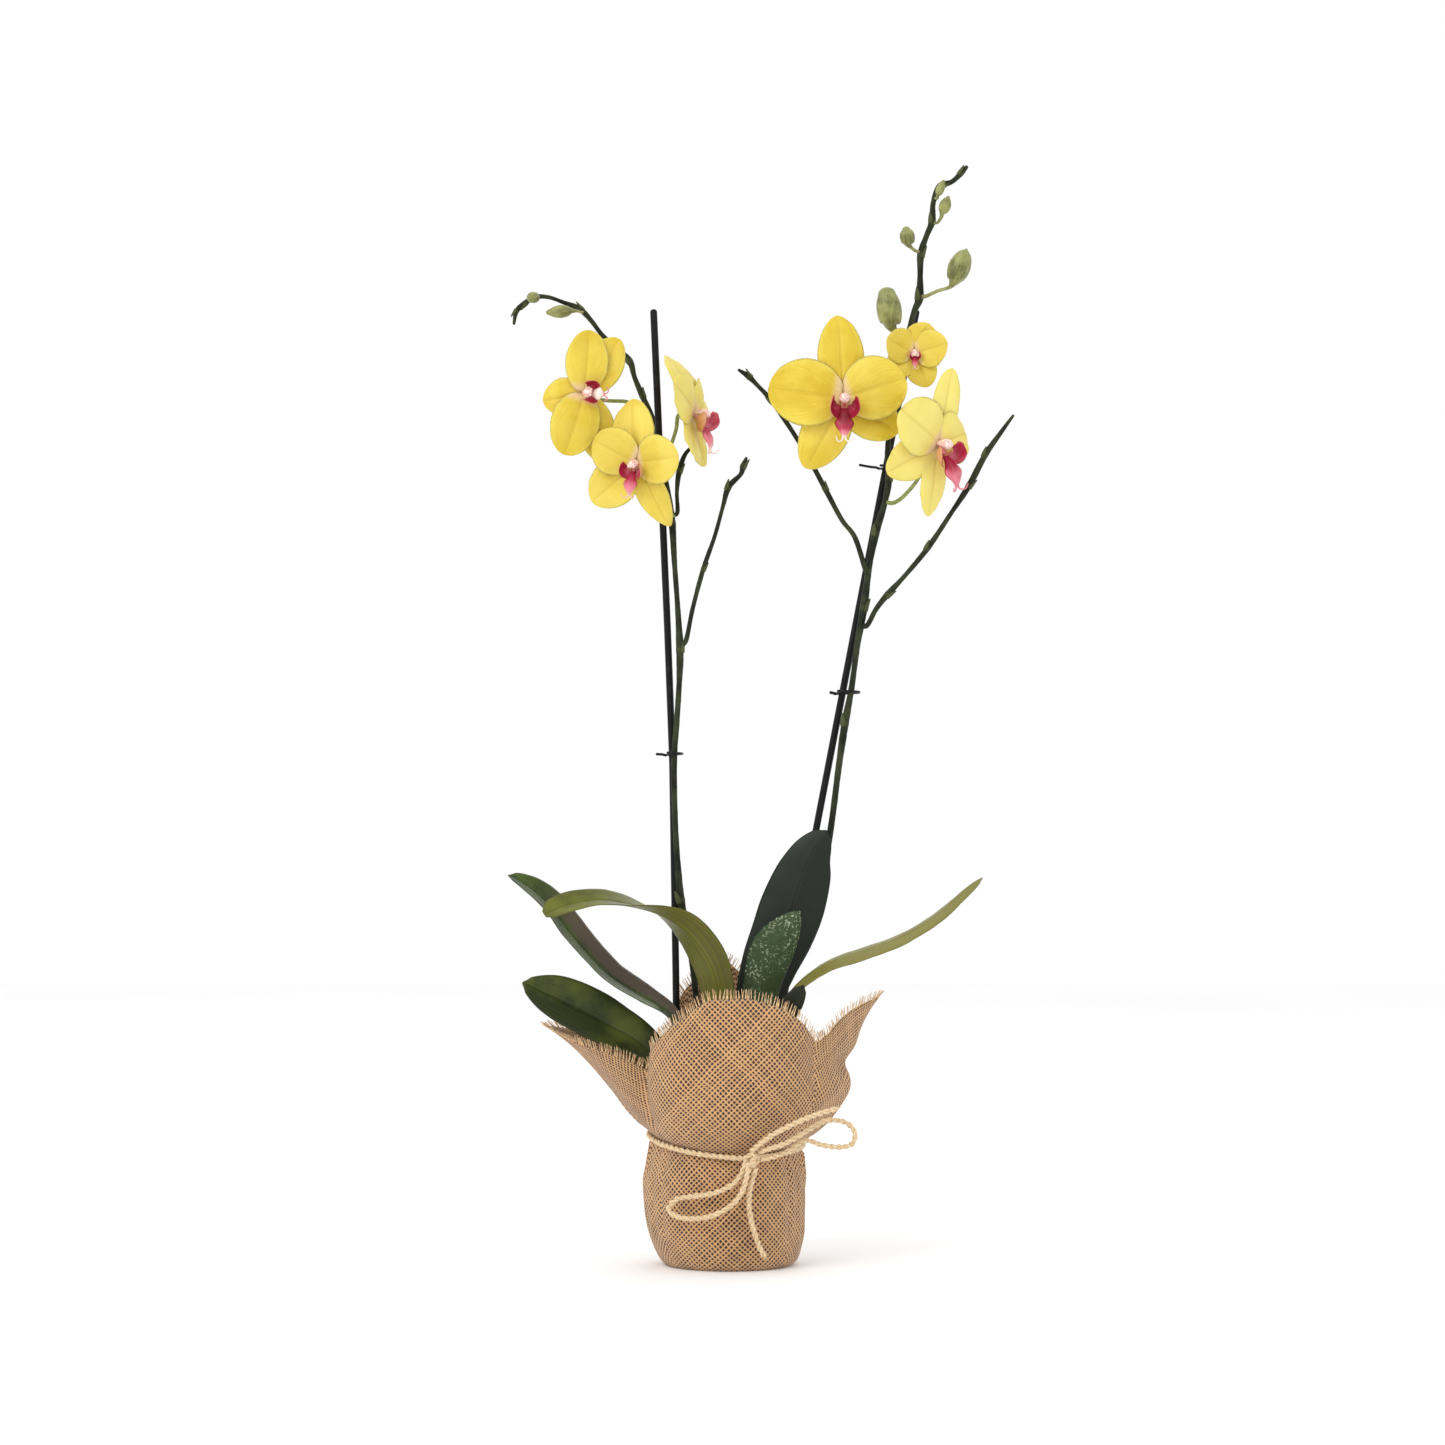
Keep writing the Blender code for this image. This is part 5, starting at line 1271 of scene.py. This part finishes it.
# ---------------------------------------------------------------- twine
TWINE_R = 1.75
ROUTES = {
    "twine_loop_right": [
        (19.8, -56.0, 74.5), (25, -61, 77), (36, -65, 81), (50, -64, 89), (61, -59, 94), (72, -56, 93),
        (78, -55, 87), (77, -54, 80), (70, -54, 77.5), (58, -56, 79), (48, -58.5, 82), (37, -59.5, 75.5),
        (27, -57.5, 71.5), (21.5, -55.5, 70.4)],
    "twine_loop_left": [
        (11.4, -56.4, 67.5), (9, -57.4, 61), (3, -56.8, 54.5), (-8, -55.6, 49.5), (-21, -53.5, 47.5),
        (-30, -50.5, 45.5), (-35, -48.5, 39.5), (-31, -50.5, 35.5), (-22, -54.0, 34), (-9, -57.2, 36),
        (3, -58.6, 42.5), (9.6, -59.8, 51), (12.8, -60.2, 61), (13.6, -58.8, 65.2)],
    "twine_tail_down": [
        (18.0, -57.0, 65), (16.0, -57.4, 58), (14.0, -56.0, 49), (14.4, -54.2, 38), (17.0, -53.4, 26),
        (21.0, -53.0, 15), (23.5, -52.6, 11)],
    "twine_tail_right": [
        (15.4, -58.0, 75.4), (22, -63, 81.5), (31, -68, 88), (45, -70.5, 95), (56, -68, 99),
        (67, -65, 102)],
}
PLY_R = 0.98
PLY_OUT = 0.80
TWIST = 8.5                 # length of one full turn of the plies


def plies(mesh, path, phase=0.0):
    """Two strands wound round each other along a path."""
    path = resample(path, 0.8)
    u, w = side_frames(path)
    s = arc_length(path)
    for strand in range(2):
        a = 2 * math.pi * s / TWIST + math.pi * strand + phase
        out = PLY_OUT * (1 + 0.16 * wobble(s, 31 + strand, 0.5))
        line = path + u * (np.cos(a) * out)[:, None] + w * (np.sin(a) * out)[:, None]
        r = PLY_R * (1 + 0.15 * wobble(s, 41 + strand, 0.9))
        mesh.tube(line, r, sides=9)
    return path


hair = Mesh()


def hairs(path, count, reach=2.6):
    """Fine fibres that stand off a twine."""
    for _ in range(count):
        i = rng.integers(1, len(path) - 2)
        along = unit(path[i + 1] - path[i])
        side = unit(np.cross(along, rng.normal(size=3)))
        start = path[i] + side * 1.3
        lean = unit(side * rng.uniform(0.25, 0.9) + along * rng.choice([-1, 1]) * rng.uniform(0.5, 1.0))
        add_thread(hair, start, lean, rng.normal(size=3), rng.uniform(1.2, reach), 0.10,
                   rng.uniform(0.2, 0.9), rows=4)


def frayed_end(mesh, at, way, count=14):
    """The fibres of a cut twine end, spread a little."""
    for _ in range(count):
        lean = unit(way + rng.normal(0, 0.22, 3))
        add_thread(mesh, at - way * 1.5, lean, rng.normal(0, 1.0, 3), rng.uniform(2.5, 4.6), 0.22, 0.6)


cords = {}
for name, route in ROUTES.items():
    mesh = Mesh()
    line = spline(route, 8)
    fine = plies(mesh, line)
    hairs(fine, 60)
    obj = mesh.make(name + "_ply", TWINE, "jute_twine", [name])
    cords[name] = (obj, fine)

frayed = {}
for name in ("twine_tail_down", "twine_tail_right"):
    tail, line = Mesh(), cords[name][1]
    frayed_end(tail, line[-1], unit(line[-1] - line[-3]))
    frayed[name] = tail.make(name + "_frayed", TWINE, "jute_twine")

band = Mesh()
angles = np.linspace(0, 2 * math.pi, 181)
KNOT_AT = vec(15.2, -55.6, 70.0)
KNOT_PULL = 7.0             # how far the tie is drawn out to meet the knot
KNOT_SPREAD = 0.20          # half the angle, in radians, over which it is drawn out
off_knot = (angles - math.atan2(KNOT_AT[1], KNOT_AT[0]) + math.pi) % (2 * math.pi) - math.pi
reach_r = TIE_R + 0.75 + TWINE_R + KNOT_PULL * np.exp(-(off_knot / KNOT_SPREAD) ** 2)
ring = np.stack([reach_r * np.cos(angles), reach_r * np.sin(angles), tie_height(angles)], 1)
ring_fine = plies(band, np.roll(ring[:-1], -90, axis=0)[list(range(180)) + [0]])
hairs(ring_fine, 150)
band.make("twine_tie_ply", TWINE, "jute_twine", ["twine_tie"])

knot = Mesh()
turn = np.linspace(0, 2 * math.pi, 40)
over_turn = np.stack([2.6 * np.cos(turn), 2.2 * np.sin(turn) - 2.1,
                      1.61 * np.sin(turn) + 2.52 * np.cos(turn)], 1)
front_turn = np.stack([3.6 * np.cos(turn), -2.2 * np.abs(np.sin(turn)) - 0.6, 3.0 * np.sin(turn)], 1)
for i, line in enumerate((KNOT_AT + over_turn, KNOT_AT + front_turn)):
    hairs(plies(knot, line, phase=i), 40)
knot.make("twine_knot_ply", TWINE, "jute_twine", ["twine_knot"])
hair.make("twine_fuzz", TWINE, "jute_twine")


# ---------------------------------------------------------------- bark chips and roots
def chip(mesh, centre, size, seed):
    """One rough bark chip: a bent slab with chipped edges."""
    local = np.random.default_rng(seed)
    axes = np.linalg.qr(local.normal(size=(3, 3)))[0]
    flat_axis = unit(vec(0, 0, 1) + local.normal(0, 0.45, 3))
    x_axis = unit(np.cross(flat_axis, axes[0]))
    y_axis = np.cross(flat_axis, x_axis)
    rows, sides = 7, 8
    f = np.linspace(-1, 1, rows)
    a = 2 * math.pi * np.arange(sides) / sides + 0.3
    section = np.maximum(0.25, 1 - 0.55 * np.abs(f) ** 3) * (1 + local.normal(0, 0.10, rows))
    jag = 1 + local.normal(0, 0.12, (rows, sides))
    x = size * f[:, None] * (1 + local.normal(0, 0.05, (rows, sides)))
    y = 0.55 * size * np.sign(np.cos(a)) * np.abs(np.cos(a)) ** 0.5 * section[:, None] * jag
    z = 0.22 * size * np.sign(np.sin(a)) * np.abs(np.sin(a)) ** 0.5 * section[:, None] * jag
    z = z + 0.18 * size * (f[:, None] ** 2)
    rings = centre + x[..., None] * x_axis + y[..., None] * y_axis + z[..., None] * flat_axis
    uv = np.zeros((rows, sides + 1, 2))
    mesh.add(rings, uv)


chips = Mesh()
bark_low, bark_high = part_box("bark_mix")
BARK_TOP = bark_high.z / MM - 2.2
for i in range(150):
    r, a = 36.0 * math.sqrt(rng.uniform(0, 1)), rng.uniform(0, 2 * math.pi)
    if math.hypot(r * math.cos(a) - 3, r * math.sin(a) - 2) < 10:
        continue
    size = rng.uniform(3.2, 6.4)
    at = vec(r * math.cos(a), r * math.sin(a), BARK_TOP + 1.0 + rng.uniform(0, 2.4))
    chip(chips, at, size, 100 + i)
chips.make("bark_chips", BARK, "bark")

ROOTS = [                   # where each aerial root leaves the crown and where it goes into the bark
    ((8, 6, 84), (30, 14, 79)), ((-4, 8, 83), (-24, 20, 79)), ((6, -5, 82), (22, -24, 79)),
    ((-3, -4, 84), (-22, -22, 79.5))]
UP = vec(0, 0, 3)
roots = Mesh()
for i, (start, end) in enumerate(ROOTS):
    p, q = vec(*start), vec(*end)
    bend = vec(-(q - p)[1], (q - p)[0], 0) * 0.18 * (-1) ** i
    line = resample(spline([p, (p * 2 + q) / 3 + bend + UP, (p + q * 2) / 3 + bend, q - UP], 12), 1.0)
    s = arc_length(line)
    roots.tube(line, 2.1 * (1 - 0.3 * s / s[-1]) * (1 + 0.06 * wobble(s, 60 + i, 0.6)), sides=14)
roots.make("aerial_roots", ROOT, "crown")


# ---------------------------------------------------------------- twine far ends, listed; each cord's points are worked out in metres and not used
FAR_ENDS = {
    "twine_loop_right": "object",
    "twine_loop_left": "object",
    "twine_tail_down": "bare",
    "twine_tail_right": "bare",
}
for name, far_end in FAR_ENDS.items():
    obj, fine = cords[name]
    tuple(fine[0] * MM)
    [tuple(p * MM) for p in fine]
    [frayed[name]] if name in frayed else []


# ---------------------------------------------------------------- stage: floor, light, camera
FLOOR_HALF = 3.0            # metres
floor_mesh = bpy.data.meshes.new("floor")
corners = [(x * FLOOR_HALF, y * FLOOR_HALF, 0) for x, y in ((-1, -1), (1, -1), (1, 1), (-1, 1))]
floor_mesh.from_pydata(corners, [], [(0, 1, 2, 3)])
floor = bpy.data.objects.new("floor", floor_mesh)
bpy.context.scene.collection.objects.link(floor)
ground = Look("floor_pale", rough=0.9)
ground.color(ground.mix(ground.clouds(3.0).between(0.3, 0.7), (0.95, 0.95, 0.95), (0.97, 0.97, 0.97)))
floor_mesh.materials.append(ground.material)

world = bpy.data.worlds.new("studio")
bpy.context.scene.world = world
world.use_nodes = True
sky = world.node_tree.nodes["Background"].inputs
sky["Color"].default_value = (1.0, 1.0, 1.0, 1.0)
sky["Strength"].default_value = 1.0


def softbox(name, at, aim, size, power):
    """A square area light aimed at a point, all in metres."""
    data = bpy.data.lights.new(name, "AREA")
    data.size = size
    data.energy = power
    lamp = bpy.data.objects.new(name, data)
    lamp.location = at
    way = np.array(aim, float) - np.array(at, float)
    lamp.rotation_euler = Vector(way).to_track_quat("-Z", "Y").to_euler()
    bpy.context.scene.collection.objects.link(lamp)


softbox("key", (-1.3, -1.6, 1.7), (0, 0, 0.35), 1.0, 19.0)
softbox("fill", (1.6, -1.4, 0.9), (0, 0, 0.3), 1.4, 2.5)
softbox("back", (0.4, 1.6, 1.5), (0, 0, 0.4), 1.2, 6.0)

FRAME_WIDTH = 0.896         # metres across the view at the pot
DISTANCE = 2.8
camera_data = bpy.data.cameras.new("camera")
camera_data.sensor_width = 36.0
camera_data.lens = camera_data.sensor_width * DISTANCE / FRAME_WIDTH
camera = bpy.data.objects.new("camera", camera_data)
camera.location = (-0.0022, -DISTANCE, 0.3358)
camera.rotation_euler = (math.pi / 2, 0.0, 0.0)
bpy.context.scene.collection.objects.link(camera)
bpy.context.scene.camera = camera
bpy.context.scene.view_settings.view_transform = "Standard"
